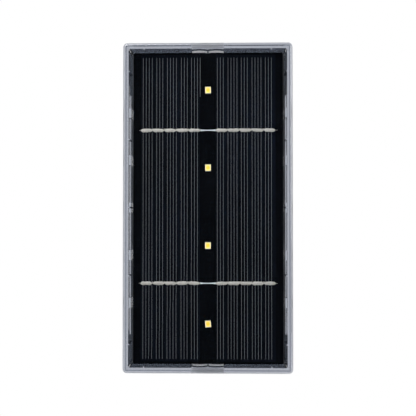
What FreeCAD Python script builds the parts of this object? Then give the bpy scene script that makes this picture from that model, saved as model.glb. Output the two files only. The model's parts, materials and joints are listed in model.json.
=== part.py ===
import FreeCAD, Part
import math
import os
from collections import namedtuple

import Sketcher

# Solar fence light: a clear moulded cover over a black board of solar strips and small lights,
# closed from behind by a black cover that hangs on two screws.
#
# Frame: X to the right, Z up, the fence at Y = 0, and the light stands out from it towards -Y.
# "Depth" is a distance from the fence, so a depth of 30 is the plane Y = -30.

SIZES = [
    # name, millimetres (or a count or degrees), what it is
    ("light_width", 84.5, "outside width of the clear cover"),
    ("light_height", 164.3, "outside height of the clear cover"),
    ("cover_wall", 2.7, "side wall of the clear cover"),
    ("cover_front", 2.5, "front wall of the clear cover"),
    ("cover_corner", 2.2, "outside corner radius in the front view"),
    ("cover_inner_corner", 1.2, "inside corner radius in the front view"),
    ("cover_front_edge", 1.5, "rounding of the front outer edge"),
    ("rail_step", 0.45, "how far the side rails thicken the long walls"),
    ("rail_rise", 2.3, "rails' front step in front of the board"),
    ("rail_upper_end", 22.45, "upper end of the rails from the end wall"),
    ("rail_lower_end", 15.45, "lower end of the rails from the end wall"),
    ("pad_length", 5.0, "length of a board guide pad"),
    ("pad_end", 31.85, "outer guide pads from the end walls"),
    ("pad_count", 5, "guide pads on each long wall"),
    ("pad_rise", 7.0, "guide pads' front ends in front of the board"),
    ("pad_gap", 0.3, "guide pad to board edge"),
    ("rib_thick", 0.6, "thickness of the wall ribs"),
    ("rib_rise", 0.65, "how far the wall ribs stand off the wall"),
    ("rib_end", 11.45, "outer side ribs from the end walls"),
    ("rib_count", 5, "ribs on each long wall"),
    ("end_rib_side", 7.75, "end wall ribs from the long walls"),
    ("end_rib_gap", 0.6, "end wall ribs and blocks to the board's front"),
    ("latch_width", 16.0, "width of the latch blocks on the end walls"),
    ("latch_inset", 0.2, "latch block behind the outer face"),
    ("latch_rise", 0.5, "latch block's inner step at its ends"),
    ("latch_bow", 0.3, "hollow of the latch block's inner face"),
    ("window_width", 10.6, "width of the latch window"),
    ("window_inset", 1.0, "depth of the latch window in the end wall"),
    ("window_depth", 5.8, "depth of the window's catch edge"),
    ("window_play", 0.9, "window in front of the hook"),
    ("hook_gap", 0.1, "hook to catch edge"),
    ("hook_tip_gap", 0.35, "hook tip to the bottom of the window"),
    ("hook_length", 3.4, "length of the hook with its ramp"),
    ("hook_side_gap", 0.3, "hook to the window's ends"),
    ("tongue_slit", 1.0, "slit on each side of a latch tongue"),
    ("tongue_root", 3.4, "depth at which the slits start"),
    ("back_plate", 2.0, "thickness of the back plate"),
    ("back_edge", 0.4, "chamfer round the back plate's rear edge"),
    ("plate_gap", 0.2, "back plate to the cover's walls"),
    ("plug_wall", 1.6, "wall that plugs into the cover"),
    ("plug_gap", 0.2, "plug wall to the cover's rails and end walls"),
    ("floor_rib", 1.2, "thickness of the ribs on the back plate"),
    ("floor_rib_rise", 3.0, "height of the ribs on the back plate"),
    ("floor_rib_z", 33.0, "cross ribs from the middle"),
    ("floor_rib_x", 25.0, "upright ribs from the middle"),
    ("seal_depth", 0.8, "back face to the perimeter seal"),
    ("seal_width", 1.1, "width of the perimeter seal"),
    ("seal_height", 0.8, "height of the perimeter seal"),
    ("seal_gap", 0.05, "perimeter seal to the cover's walls"),
    ("board_side_gap", 1.45, "solar board to the cover's long walls"),
    ("board_end_gap", 0.2, "solar board to the cover's end walls"),
    ("board_thick", 1.6, "thickness of the solar board"),
    ("board_corner", 0.8, "corner radius of the solar board"),
    ("board_recess", 11.5, "front face to the board's front"),
    ("bond_thick", 0.5, "bead that bonds the board to the plug wall"),
    ("bond_inset", 0.1, "bead inside the board's edge"),
    ("strip_count", 5, "solar strips on each side"),
    ("strip_gap", 0.22, "gap between two strips"),
    ("strip_side", 3.65, "outer strips from the board's long edges"),
    ("strip_end", 1.25, "strips from the board's short edges"),
    ("strip_thick", 0.2, "thickness of a solar strip"),
    ("strip_middle", 7.7, "bare middle between the two groups of strips"),
    ("solder_spacing", 77.9, "distance between the two solder runs"),
    ("solder_width", 1.7, "width of a solder bead"),
    ("solder_bevel", 0.45, "bevel of a solder bead's corners"),
    ("solder_neck", 0.42, "solder bead shorter than the strip pitch"),
    ("solder_thick", 0.35, "height of a solder bead on the strip"),
    ("ribbon_width", 0.9, "width of the ribbon under the beads"),
    ("ribbon_thick", 0.15, "thickness of the ribbon under the beads"),
    ("ribbon_tip", 0.9, "point of the ribbon past the outer strip"),
    ("link_width", 0.8, "width of the link across the middle"),
    ("led_width", 2.8, "width of a light's housing"),
    ("led_length", 3.5, "length of a light's housing"),
    ("led_thick", 0.8, "thickness of a light's housing"),
    ("led_rim", 0.5, "rim round the floor of a light's window"),
    ("led_flare", 20.0, "degrees that the window's sides lean out"),
    ("led_window_depth", 0.5, "depth of the light's window"),
    ("led_fill_drop", 0.05, "fill below the housing's face"),
    ("row_lift", 0.6, "middle of the lights and solder runs above the board's middle"),
    ("led_turn_one", 1.5, "degrees that the top light is turned"),
    ("led_turn_two", 0.5, "degrees that the second light is turned"),
    ("led_turn_three", -0.5, "degrees that the third light is turned"),
    ("led_turn_four", -5.0, "degrees that the bottom light is turned"),
    ("cell_radius", 7.0, "radius of the battery cell"),
    ("cell_length", 50.0, "length of the battery cell"),
    ("cell_nipple", 2.8, "radius of the cell's positive end"),
    ("cell_nipple_rise", 1.0, "height of the cell's positive end"),
    ("wrap_thick", 0.15, "battery wrap"),
    ("wrap_end", 0.4, "wrap short of the cell's ends"),
    ("cell_x", -19.0, "battery from the middle"),
    ("cell_lift", 0.25, "battery off the back plate"),
    ("saddle_gap", 0.15, "battery to its saddles"),
    ("saddle_thick", 1.5, "thickness of the battery saddles"),
    ("saddle_offset", 15.0, "saddles from the middle"),
    ("saddle_wall", 1.3, "saddle beside the battery"),
    ("saddle_grip", 0.6, "saddle past the battery's middle"),
    ("stop_play", 0.35, "battery lead to the stop wall"),
    ("cushion_width", 8.0, "width of the foam on the battery"),
    ("cushion_length", 36.0, "length of the foam on the battery"),
    ("cushion_thick", 0.35, "foam between battery and solar board"),
    ("tab_width", 4.0, "width of a battery tab"),
    ("tab_length", 6.0, "length of a battery tab"),
    ("tab_thick", 0.2, "thickness of a battery tab"),
    ("control_width", 26.0, "width of the control board"),
    ("control_height", 38.0, "height of the control board"),
    ("control_thick", 1.2, "thickness of the control board"),
    ("control_x", 19.0, "control board from the middle"),
    ("boss_radius", 2.4, "screw boss"),
    ("boss_side", 3.4, "screw bosses from the control board's edges"),
    ("pilot_radius", 0.8, "pilot hole in a boss"),
    ("pilot_depth", 6.0, "depth of a pilot hole"),
    ("screw_gap", 0.2, "board screw in the control board's hole"),
    ("screw_length", 4.5, "board screw's shank length"),
    ("screw_head", 1.9, "board screw's head radius"),
    ("screw_head_rise", 1.2, "board screw's head height"),
    ("chip_width", 3.9, "width of the chip's package"),
    ("chip_height", 4.9, "height of the chip's package"),
    ("chip_thick", 1.6, "thickness of the chip"),
    ("chip_lift", 0.1, "chip's package off the board"),
    ("chip_leg", 0.42, "width of a chip leg"),
    ("chip_leg_thick", 0.25, "thickness of a chip leg"),
    ("chip_leg_reach", 1.05, "chip leg outside the package"),
    ("chip_leg_pitch", 1.27, "distance between chip legs"),
    ("chip_legs", 4, "legs on each side of the chip"),
    ("choke_width", 6.0, "side of the choke"),
    ("choke_height", 3.0, "height of the choke"),
    ("choke_bevel", 1.2, "bevel of the choke's corners"),
    ("can_radius", 2.0, "radius of the capacitor's can"),
    ("can_foot", 0.4, "foot round the capacitor's can"),
    ("can_height", 4.6, "height of the capacitor"),
    ("part_offset", 6.0, "choke and capacitor from the control board's middle"),
    ("switch_width", 6.0, "side of the switch body"),
    ("switch_thick", 3.6, "height of the switch body"),
    ("switch_clear", 0.3, "pressed button to the switch body"),
    ("plunger_radius", 1.7, "switch plunger"),
    ("plunger_gap", 0.08, "plunger in the switch body"),
    ("plunger_seat", 1.5, "plunger inside the switch body at rest"),
    ("button_x", 19.0, "button from the middle"),
    ("button_z", -4.0, "button from the middle"),
    ("button_radius", 4.5, "button"),
    ("button_gap", 0.08, "button in its guide"),
    ("button_recess", 0.6, "button below the back face"),
    ("button_stroke", 1.0, "travel of the button"),
    ("button_flange", 1.1, "flange wider than the button"),
    ("flange_thick", 0.8, "button flange thickness"),
    ("flange_gap", 0.1, "button flange to its seal at rest"),
    ("guide_rise", 1.6, "button guide above the back plate"),
    ("guide_wall", 1.9, "wall of the button guide"),
    ("button_seal_width", 1.2, "width of the button's seal ring"),
    ("button_seal_thick", 0.6, "thickness of the button's seal ring"),
    ("keyhole_spacing", 100.0, "distance between the two keyholes"),
    ("keyhole_entry", 4.25, "radius of a keyhole's entry"),
    ("keyhole_slot", 2.1, "half width of a keyhole's slot"),
    ("keyhole_rise", 9.0, "entry centre to the slot's end"),
    ("keyhole_room", 4.5, "room for the screw head behind the plate"),
    ("keyhole_side", 0.35, "room round the screw head"),
    ("keyhole_wall", 1.2, "wall of a keyhole pocket"),
    ("lead_radius", 0.5, "radius of a battery lead"),
    ("lead_lift", 0.05, "lead or ribbon off the board it is soldered to"),
    ("ribbon_cable", 5.1, "width of the panel ribbon"),
    ("ribbon_cable_thick", 0.9, "thickness of the panel ribbon"),
]

Arc = namedtuple("Arc", "radius rise")


class Size:
    """A length that knows its number and the sheet expression that drives it."""

    def __init__(self, number, text):
        self.number, self.text = float(number), text

    @staticmethod
    def of(value):
        return value if isinstance(value, Size) else Size(value, f"{float(value):g}")

    def _with(self, sign, other, number):
        return Size(number, f"({self.text} {sign} {other.text})")

    def __add__(self, other):
        other = Size.of(other)
        return self._with("+", other, self.number + other.number)

    def __sub__(self, other):
        other = Size.of(other)
        return self._with("-", other, self.number - other.number)

    def __mul__(self, other):
        other = Size.of(other)
        return self._with("*", other, self.number * other.number)

    def __truediv__(self, other):
        other = Size.of(other)
        return self._with("/", other, self.number / other.number)

    def __neg__(self):
        return Size(0, "0") - self


class Sheet:
    """The driving sizes, each one cell of the spreadsheet, read as attributes."""

    def __init__(self, document):
        self.cells = document.addObject("Spreadsheet::Sheet", "Sizes")
        self.numbers = {}
        for row, (name, value, note) in enumerate(SIZES, start=1):
            self.cells.set(f"A{row}", note)
            self.cells.set(f"B{row}", f"{value:g}")
            self.cells.setAlias(f"B{row}", name)
            self.numbers[name] = value
        document.recompute()

    def __getattr__(self, name):
        return Size(self.numbers[name], f"Sizes.{name}")


doc = FreeCAD.newDocument("FenceLight")
size = Sheet(doc)

# Planes and outlines that several pieces share
cover_inner_x = size.light_width / 2 - size.cover_wall
cover_inner_z = size.light_height / 2 - size.cover_wall
board_width = (cover_inner_x - size.board_side_gap) * 2
board_height = (cover_inner_z - size.board_end_gap) * 2
wrap_radius = size.cell_radius + size.wrap_thick
cell_depth = size.back_plate + size.cell_lift + wrap_radius
board_back = cell_depth + wrap_radius + size.cushion_thick
board_front = board_back + size.board_thick
light_depth = board_front + size.board_recess
front_inside = light_depth - size.cover_front
plug_rim = board_back - size.bond_thick
plug_x = cover_inner_x - size.rail_step - size.plug_gap
plug_z = cover_inner_z - size.plug_gap
strip_pitch = (board_width / 2 - size.strip_side - size.strip_middle / 2) / size.strip_count
strip_face = board_front + size.strip_thick
guide_top = size.back_plate + size.guide_rise
flange_rear = guide_top + size.button_seal_thick + size.flange_gap
flange_front = flange_rear + size.flange_thick
switch_rear = flange_front + size.button_stroke + size.switch_clear
control_depth = switch_rear + size.switch_thick
control_front = control_depth + size.control_thick
keyhole_head = size.keyhole_entry + size.keyhole_side
stop_gap = size.tab_thick + size.lead_lift + size.lead_radius * 2 + size.stop_play


def tie(item, path, value):
    """Ties one property of an item to the sheet."""
    item.setExpression(path, Size.of(value).text)


def rectangle(width, height, x=0.0, z=0.0):
    """Corners of a rectangle centred on (x, z)."""
    x, z = Size.of(x), Size.of(z)
    left, right, low, high = x - width / 2, x + width / 2, z - height / 2, z + height / 2
    return [(left, low), (right, low), (right, high), (left, high)]


def rounded(width, height, radius, x=0.0, z=0.0):
    """Outline of a rectangle with round corners, centred on (x, z)."""
    x, z = Size.of(x), Size.of(z)
    left, right, low, high = x - width / 2, x + width / 2, z - height / 2, z + height / 2
    turn = Arc(radius, radius.number * (1 - math.sqrt(0.5)))
    return [
        (left + radius, low), (right - radius, low, turn),
        (right, low + radius), (right, high - radius, turn),
        (right - radius, high), (left + radius, high, turn),
        (left, high - radius), (left, low + radius, turn),
    ]


def stadium(radius, x, low, high):
    """Upright slot outline between two end centres, its ends each two quarter turns."""
    x, low, high = Size.of(x), Size.of(low), Size.of(high)
    turn = Arc(radius, radius.number * (1 - math.sqrt(0.5)))
    return [
        (x - radius, low, turn), (x, low - radius, turn), (x + radius, low),
        (x + radius, high, turn), (x, high + radius, turn), (x - radius, high),
    ]


def bevelled(width, height, bevel, x=0.0, z=0.0):
    """Outline of a rectangle with bevelled corners, centred on (x, z)."""
    x, z = Size.of(x), Size.of(z)
    left, right, low, high = x - width / 2, x + width / 2, z - height / 2, z + height / 2
    return [
        (left + bevel, low), (right - bevel, low), (right, low + bevel), (right, high - bevel),
        (right - bevel, high), (left + bevel, high), (left, high - bevel), (left, low + bevel),
    ]


def disc(radius, x=0.0, z=0.0):
    """A circle: its radius and its centre."""
    return {"radius": radius, "x": Size.of(x), "z": Size.of(z)}


def hold_point(sketch, edge, end, x, z):
    """Holds a sketch point at two sizes from the sketch's origin."""
    for kind, value in (("DistanceX", x), ("DistanceY", z)):
        index = sketch.addConstraint(Sketcher.Constraint(kind, -1, 1, edge, end, value.number))
        tie(sketch, f"Constraints[{index}]", value)


def draw_disc(sketch, shape):
    centre = FreeCAD.Vector(shape["x"].number, shape["z"].number, 0)
    edge = sketch.addGeometry(Part.Circle(centre, FreeCAD.Vector(0, 0, 1), shape["radius"].number))
    index = sketch.addConstraint(Sketcher.Constraint("Radius", edge, shape["radius"].number))
    tie(sketch, f"Constraints[{index}]", shape["radius"])
    hold_point(sketch, edge, 3, shape["x"], shape["z"])


def draw_outline(sketch, points):
    """Closed outline: a point's optional third item makes the edge that leaves it an arc."""
    corners = [FreeCAD.Vector(Size.of(p[0]).number, Size.of(p[1]).number, 0) for p in points]
    edges = []
    for index, point in enumerate(points):
        start, end = corners[index], corners[(index + 1) % len(points)]
        curve = Part.LineSegment(start, end)
        if len(point) == 3:
            along = end - start
            outward = FreeCAD.Vector(along.y, -along.x, 0) * (point[2].rise / along.Length)
            curve = Part.Arc(start, (start + end) * 0.5 + outward, end)
        edge = sketch.addGeometry(curve)
        first = 1 if sketch.getPoint(edge, 1).distanceToPoint(start) < 1e-6 else 2
        edges.append((edge, first, 3 - first))
    for index, (edge, first, last) in enumerate(edges):
        following = edges[(index + 1) % len(edges)]
        sketch.addConstraint(Sketcher.Constraint("Coincident", edge, last, following[0], following[1]))
        hold_point(sketch, edge, first, Size.of(points[index][0]), Size.of(points[index][1]))
        if len(points[index]) == 3:
            radius = points[index][2].radius
            row = sketch.addConstraint(Sketcher.Constraint("Radius", edge, radius.number))
            tie(sketch, f"Constraints[{row}]", radius)


def new_body(label):
    body = doc.addObject("PartDesign::Body", label)
    body.Label = label
    return body


def new_sketch(body, name, shapes, offset, plane="XZ_Plane"):
    """A sketch on one of the body's own planes, set off along the plane's normal."""
    sketch = body.newObject("Sketcher::SketchObject", f"{body.Name}_{name}_sketch")
    origin_plane = next(f for f in body.Origin.OriginFeatures if f.Role == plane)
    sketch.AttachmentSupport = [(origin_plane, "")]
    sketch.MapMode = "FlatFace"
    tie(sketch, "AttachmentOffset.Base.z", offset)
    for shape in shapes:
        if isinstance(shape, dict):
            draw_disc(sketch, shape)
        else:
            draw_outline(sketch, shape)
    return sketch


def add(body, name, shapes, start, end):
    """Adds material between two depths."""
    start, end = Size.of(start), Size.of(end)
    pad = body.newObject("PartDesign::Pad", f"{body.Name}_{name}")
    pad.Profile = new_sketch(body, name, shapes, start)
    tie(pad, "Length", end - start)
    return pad


def cut(body, name, shapes, start, end):
    """Takes material away from one depth up to a greater one."""
    start, end = Size.of(start), Size.of(end)
    pocket = body.newObject("PartDesign::Pocket", f"{body.Name}_{name}")
    pocket.Profile = new_sketch(body, name, shapes, start)
    pocket.Reversed = True
    tie(pocket, "Length", end - start)
    return pocket


def add_across(body, name, shapes, plane, middle, thick):
    """Adds material to both sides of an upright plane, or of a level one."""
    pad = body.newObject("PartDesign::Pad", f"{body.Name}_{name}")
    pad.Profile = new_sketch(body, name, shapes, middle, plane)
    pad.SideType = "Symmetric"
    tie(pad, "Length", thick)
    return pad


def repeat(body, feature, pitch, count, axis="V_Axis"):
    """Repeats a feature along its own sketch's upright (or level) axis."""
    pattern = body.newObject("PartDesign::LinearPattern", f"{feature.Name}_row")
    pattern.Originals = [feature]
    pattern.Direction = (feature.Profile[0], [axis])
    tie(pattern, "Length", pitch * (count - 1))
    tie(pattern, "Occurrences", count)
    body.Tip = pattern
    return pattern


def revolve(body, name, points):
    """Turns a half profile round the sketch's upright axis."""
    turned = body.newObject("PartDesign::Revolution", f"{body.Name}_{name}")
    sketch = new_sketch(body, name, [points], 0.0)
    turned.Profile = sketch
    turned.ReferenceAxis = (sketch, ["V_Axis"])
    turned.Angle = 360
    return turned


def edges_at(feature, depth):
    """Names of the edges that lie in the plane of one depth."""
    flat = []
    for index, edge in enumerate(feature.Shape.Edges, start=1):
        box = edge.BoundBox
        if abs(box.YMin + depth.number) < 1e-4 and abs(box.YMax + depth.number) < 1e-4:
            flat.append(f"Edge{index}")
    return flat


def dress(body, kind, name, feature, edges, value):
    """Rounds ("Fillet") or bevels ("Chamfer") edges of the body's last feature."""
    item = body.newObject(f"PartDesign::{kind}", f"{body.Name}_{name}")
    item.Base = (feature, edges)
    tie(item, "Radius" if kind == "Fillet" else "Size", value)
    return item


def put(item, x, z, depth):
    """Places an item by its distances from the middle and from the fence."""
    for path, value in (("x", x), ("y", -Size.of(depth)), ("z", z)):
        tie(item, f"Placement.Base.{path}", value)


def block(label, width, height, thick, x, z, rear):
    """Plain rectangular piece centred on (x, z), from its rear depth forward."""
    item = doc.addObject("Part::Box", label)
    item.Label = label
    for path, value in (("Length", width), ("Width", thick), ("Height", height)):
        tie(item, path, value)
    put(item, Size.of(x) - width / 2, Size.of(z) - height / 2, Size.of(rear) + thick)
    return item


# ---------------------------------------------------------------- clear front cover


def front_cover():
    """Clear box that closes over the board, open towards the fence."""
    body = new_body("front_cover")
    outer = rounded(size.light_width, size.light_height, size.cover_corner)
    shell = add(body, "shell", [outer], 0.0, light_depth)
    doc.recompute()
    dress(body, "Fillet", "front_edge", shell, edges_at(shell, light_depth), size.cover_front_edge)
    latch_blocks(body)
    inner = rounded(cover_inner_x * 2, cover_inner_z * 2, size.cover_inner_corner)
    cut(body, "hollow", [inner], 0.0, front_inside)
    cover_rails(body)
    cover_ribs(body)
    latch_steps(body)
    latch_windows(body)
    return body


def latch_blocks(body):
    """Square-edged blocks at the middle of both end walls, where the front edge is not rounded."""
    face = size.light_height / 2 - size.latch_inset
    middle = (face + cover_inner_z) / 2
    shapes = [rectangle(size.latch_width, face - cover_inner_z, 0.0, z) for z in (middle, -middle)]
    add(body, "blocks", shapes, front_inside, light_depth)


def cover_rails(body):
    """Rails that thicken the long walls behind the board's front, with guide pads on them."""
    upper, lower = cover_inner_z - size.rail_upper_end, cover_inner_z - size.rail_lower_end
    rail_x = cover_inner_x - size.rail_step / 2
    rails = [rectangle(size.rail_step, upper + lower, x, (upper - lower) / 2) for x in (rail_x, -rail_x)]
    add(body, "rails", rails, size.back_plate, board_front + size.rail_rise)
    reach = size.board_side_gap - size.pad_gap
    pad_x = cover_inner_x - reach / 2
    low = size.pad_end - cover_inner_z
    pads = [rectangle(reach, size.pad_length, x, low) for x in (pad_x, -pad_x)]
    first = add(body, "pads", pads, plug_rim + size.pad_gap, board_front + size.pad_rise)
    repeat(body, first, -low * 2 / (size.pad_count - 1), size.pad_count)


def cover_ribs(body):
    """Thin ribs from the board up to the front wall."""
    rib_x = cover_inner_x - size.rib_rise / 2
    low = size.rib_end - cover_inner_z
    shapes = [rectangle(size.rib_rise, size.rib_thick, x, low) for x in (rib_x, -rib_x)]
    first = add(body, "side_ribs", shapes, board_back, front_inside)
    repeat(body, first, -low * 2 / (size.rib_count - 1), size.rib_count)
    end_x, end_z = cover_inner_x - size.end_rib_side, cover_inner_z - size.rib_rise / 2
    shapes = [rectangle(size.rib_thick, size.rib_rise, x, z) for x in (end_x, -end_x) for z in (end_z, -end_z)]
    add(body, "end_ribs", shapes, board_front + size.end_rib_gap, front_inside)


def latch_steps(body):
    """Inner step of each latch block: a bowed face between two full ends, split by a middle rib."""
    half = size.latch_width / 2
    chord = half - size.rib_thick / 2
    bow = Arc((chord * chord / 4 + size.latch_bow * size.latch_bow) / (size.latch_bow * 2), -size.latch_bow.number)
    shapes = []
    for side in (1, -1):
        wall, step = cover_inner_z * side, (cover_inner_z - size.latch_rise) * side
        for near, far in ((size.rib_thick / 2, half), (-half, -(size.rib_thick / 2))):
            upper = [(near, step, bow), (far, step), (far, wall), (near, wall)]
            lower = [(near, wall), (far, wall), (far, step, bow), (near, step)]
            shapes.append(upper if side == 1 else lower)
    add(body, "steps", shapes, board_front + size.end_rib_gap, front_inside)
    rib_z = cover_inner_z - size.rib_rise / 2
    ribs = [rectangle(size.rib_thick, size.rib_rise, 0.0, z) for z in (rib_z, -rib_z)]
    add(body, "middle_ribs", ribs, board_front + size.end_rib_gap, front_inside)


def latch_windows(body):
    """Windows in the end walls that the hooks of the back cover snap into."""
    z = cover_inner_z + size.window_inset / 2
    shapes = [rectangle(size.window_width, size.window_inset, 0.0, side) for side in (z, -z)]
    length = size.hook_gap + size.hook_length + size.window_play
    cut(body, "windows", shapes, size.window_depth, size.window_depth + length)


# ---------------------------------------------------------------- black back cover


def back_cover():
    """Plate inside the cover's rear rim, with a plug wall, keyholes, battery saddles and bosses."""
    body = new_body("back_cover")
    plate_x, plate_z = cover_inner_x - size.plate_gap, cover_inner_z - size.plate_gap
    outer = rounded(plate_x * 2, plate_z * 2, size.cover_inner_corner)
    plate = add(body, "plate", [outer], 0.0, size.back_plate)
    doc.recompute()
    dress(body, "Chamfer", "back_edge", plate, edges_at(plate, Size.of(0)), size.back_edge)
    plug_outer = rounded(plug_x * 2, plug_z * 2, size.cover_inner_corner)
    inside_x, inside_z = plug_x - size.plug_wall, plug_z - size.plug_wall
    plug_inner = rectangle(inside_x * 2, inside_z * 2)
    add(body, "plug", [plug_outer, plug_inner], size.back_plate, plug_rim)
    cut(body, "seal_groove", seal_outline(size.plate_gap), size.seal_depth, size.seal_depth + size.seal_height)
    floor_ribs(body, inside_x, inside_z)
    keyholes(body)
    latch_tongues(body)
    battery_saddles(body)
    control_bosses(body)
    button_guide(body)
    return body


def seal_outline(past):
    """Outline of the seal's groove, or of the seal: its outer side lies a gap off the cover's walls."""
    x, z = cover_inner_x - size.seal_gap, cover_inner_z - size.seal_gap
    outer = rounded((x + past) * 2, (z + past) * 2, size.cover_inner_corner)
    inner = rectangle((x - size.seal_width) * 2, (z - size.seal_width) * 2)
    return [outer, inner]


def floor_ribs(body, inside_x, inside_z):
    """Cross ribs and upright ribs that stiffen the plate."""
    top = size.back_plate + size.floor_rib_rise
    overlap = size.plug_wall / 2
    across = [
        rectangle((inside_x + overlap) * 2, size.floor_rib, 0.0, z) for z in (size.floor_rib_z, -size.floor_rib_z)
    ]
    add(body, "cross_ribs", across, size.back_plate, top)
    length = inside_z + overlap - size.floor_rib_z
    middle = size.floor_rib_z + length / 2
    upright = [
        rectangle(size.floor_rib, length, x, z)
        for x in (size.floor_rib_x, -size.floor_rib_x)
        for z in (middle, -middle)
    ]
    add(body, "upright_ribs", upright, size.back_plate, top)


def keyholes(body):
    """Two keyholes, each with a closed pocket that a screw's head slides up in."""
    outer = keyhole_head + size.keyhole_wall
    top = size.back_plate + size.keyhole_room
    lows = (size.keyhole_spacing / 2, -(size.keyhole_spacing / 2))
    pockets = [stadium(outer, 0.0, low, low + size.keyhole_rise) for low in lows]
    add(body, "pockets", pockets, size.back_plate, top + size.keyhole_wall)
    rooms = [stadium(keyhole_head, 0.0, low, low + size.keyhole_rise) for low in lows]
    cut(body, "head_rooms", rooms, size.back_plate, top)
    cut(body, "entries", [disc(size.keyhole_entry, 0.0, low) for low in lows], 0.0, size.back_plate)
    slots = [stadium(size.keyhole_slot, 0.0, low, low + size.keyhole_rise) for low in lows]
    cut(body, "slots", slots, 0.0, size.back_plate)


def latch_tongues(body):
    """Hooks at both ends of the plug wall, on tongues that two slits set free."""
    catch = size.window_depth + size.hook_gap
    tip = cover_inner_z + size.window_inset - size.hook_tip_gap
    hook_width = size.window_width - size.hook_side_gap * 2
    root = plug_z - size.plug_wall / 2
    flat = size.hook_length / 4
    for name, side in (("upper_hook", 1), ("lower_hook", -1)):
        profile = [
            (-catch, root * side), (-catch, tip * side), (-(catch + flat), tip * side),
            (-(catch + size.hook_length), plug_z * side), (-(catch + size.hook_length), root * side),
        ]
        add_across(body, name, [profile], "YZ_Plane", 0.0, hook_width)
    slit_x = hook_width / 2 + size.tongue_slit
    slit_z = plug_z - size.plug_wall / 2
    slits = [
        rectangle(size.tongue_slit, size.plug_wall * 2, x, z) for x in (slit_x, -slit_x) for z in (slit_z, -slit_z)
    ]
    cut(body, "tongue_slits", slits, size.tongue_root, plug_rim)


def battery_saddles(body):
    """Two saddles and two stop walls that hold the battery."""
    top = cell_depth + size.saddle_grip
    radius = wrap_radius + size.saddle_gap
    width = (radius + size.saddle_wall) * 2
    for name, z in (("upper_saddle", size.saddle_offset), ("lower_saddle", -size.saddle_offset)):
        shape = rectangle(width, size.saddle_thick, size.cell_x, z)
        add(body, name, [shape], size.back_plate, top)
    bore = body.newObject("PartDesign::Pocket", f"{body.Name}_cell_bore")
    bore.Profile = new_sketch(body, "cell_bore", [disc(radius, size.cell_x, -cell_depth)], 0.0, "XY_Plane")
    bore.SideType = "Symmetric"
    tie(bore, "Length", size.saddle_offset * 2 + size.saddle_thick * 2)
    end = size.cell_length / 2 + stop_gap + size.saddle_thick / 2
    stops = [rectangle(width / 2, size.saddle_thick, size.cell_x, z) for z in (end, -end)]
    add(body, "stops", stops, size.back_plate, cell_depth)


def boss_centres():
    """Centres of the two screws that hold the control board, at opposite corners."""
    x, z = size.control_width / 2 - size.boss_side, size.control_height / 2 - size.boss_side
    return [(size.control_x + x, z), (size.control_x - x, -z)]


def control_bosses(body):
    """Bosses under the control board with pilot holes for its screws."""
    add(body, "bosses", [disc(size.boss_radius, x, z) for x, z in boss_centres()], size.back_plate, control_depth)
    holes = [disc(size.pilot_radius, x, z) for x, z in boss_centres()]
    cut(body, "pilots", holes, control_depth - size.pilot_depth, control_depth)


def button_guide(body):
    """Round guide for the button."""
    bore = size.button_radius + size.button_gap
    add(body, "guide", [disc(bore + size.guide_wall, size.button_x, size.button_z)], size.back_plate, guide_top)
    cut(body, "guide_bore", [disc(bore, size.button_x, size.button_z)], 0.0, guide_top)


# ---------------------------------------------------------------- seal, bond and solar board


def perimeter_seal():
    """Seal ring in the groove round the back plate's edge, against the cover's walls."""
    body = new_body("perimeter_seal")
    add(body, "ring", seal_outline(0.0), size.seal_depth, size.seal_depth + size.seal_height)
    return body


def board_bond():
    """Bead between the plug wall's rim and the back of the solar board."""
    body = new_body("board_bond")
    edge = size.bond_inset * 2
    outer = bevelled(board_width - edge, board_height - edge, size.board_corner)
    inner = rectangle((plug_x - size.plug_wall) * 2, (plug_z - size.plug_wall) * 2)
    add(body, "bead", [outer, inner], plug_rim, board_back)
    return body


def solar_board():
    """Black board that carries the strips and the lights."""
    body = new_body("solar_board")
    add(body, "panel", [rounded(board_width, board_height, size.board_corner)], board_back, board_front)
    return body


def strip_x(index):
    """Middle of a strip, counted outwards from the bare middle."""
    return size.strip_middle / 2 + strip_pitch * (Size.of(index) + 0.5)


def solar_strips():
    """Thin solar strips, laid side by side on both halves of the board."""
    strips = []
    width, height = strip_pitch - size.strip_gap, board_height - size.strip_end * 2
    for index in range(int(size.strip_count.number)):
        for side, name in ((-1, "left"), (1, "right")):
            label = f"solar_strip_{name}_{index + 1}"
            x = strip_x(index) * side
            strips.append(block(label, width, height, size.strip_thick, x, 0.0, board_front))
    return strips


def solder_run(label, side, z):
    """Ribbon across one half of the board with a bead on every strip and a pointed outer end."""
    body = new_body(label)
    z = Size.of(z)
    outer = size.strip_middle / 2 + strip_pitch * size.strip_count
    inner = size.strip_middle / 2
    half = size.ribbon_width / 2
    profile = [
        (inner * side, z - half), (outer * side, z - half), ((outer + size.ribbon_tip) * side, z),
        (outer * side, z + half), (inner * side, z + half),
    ]
    add(body, "ribbon", [profile], strip_face, strip_face + size.ribbon_thick)
    first = strip_x(0) if side == 1 else -strip_x(size.strip_count - 1)
    bead = bevelled(strip_pitch - size.solder_neck, size.solder_width, size.solder_bevel, first, z)
    pad = add(body, "bead", [bead], strip_face, strip_face + size.solder_thick)
    repeat(body, pad, strip_pitch, size.strip_count, "H_Axis")
    return body


def solder_runs():
    """Solder runs on both halves and the links that join them across the middle."""
    pieces = []
    half = size.solder_spacing / 2
    for height, z in (("upper", size.row_lift + half), ("lower", size.row_lift - half)):
        for name, side in (("left", -1), ("right", 1)):
            pieces.append(solder_run(f"solder_run_{height}_{name}", side, z))
        pieces.append(
            block(f"solder_link_{height}", size.strip_middle, size.link_width, size.ribbon_thick + size.strip_thick,
                  0.0, z, board_front)
        )
    return pieces


# ---------------------------------------------------------------- lights


def led_window():
    """Outline of a light's window."""
    return rectangle(size.led_width - size.led_rim * 2, size.led_length - size.led_rim * 2)


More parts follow.
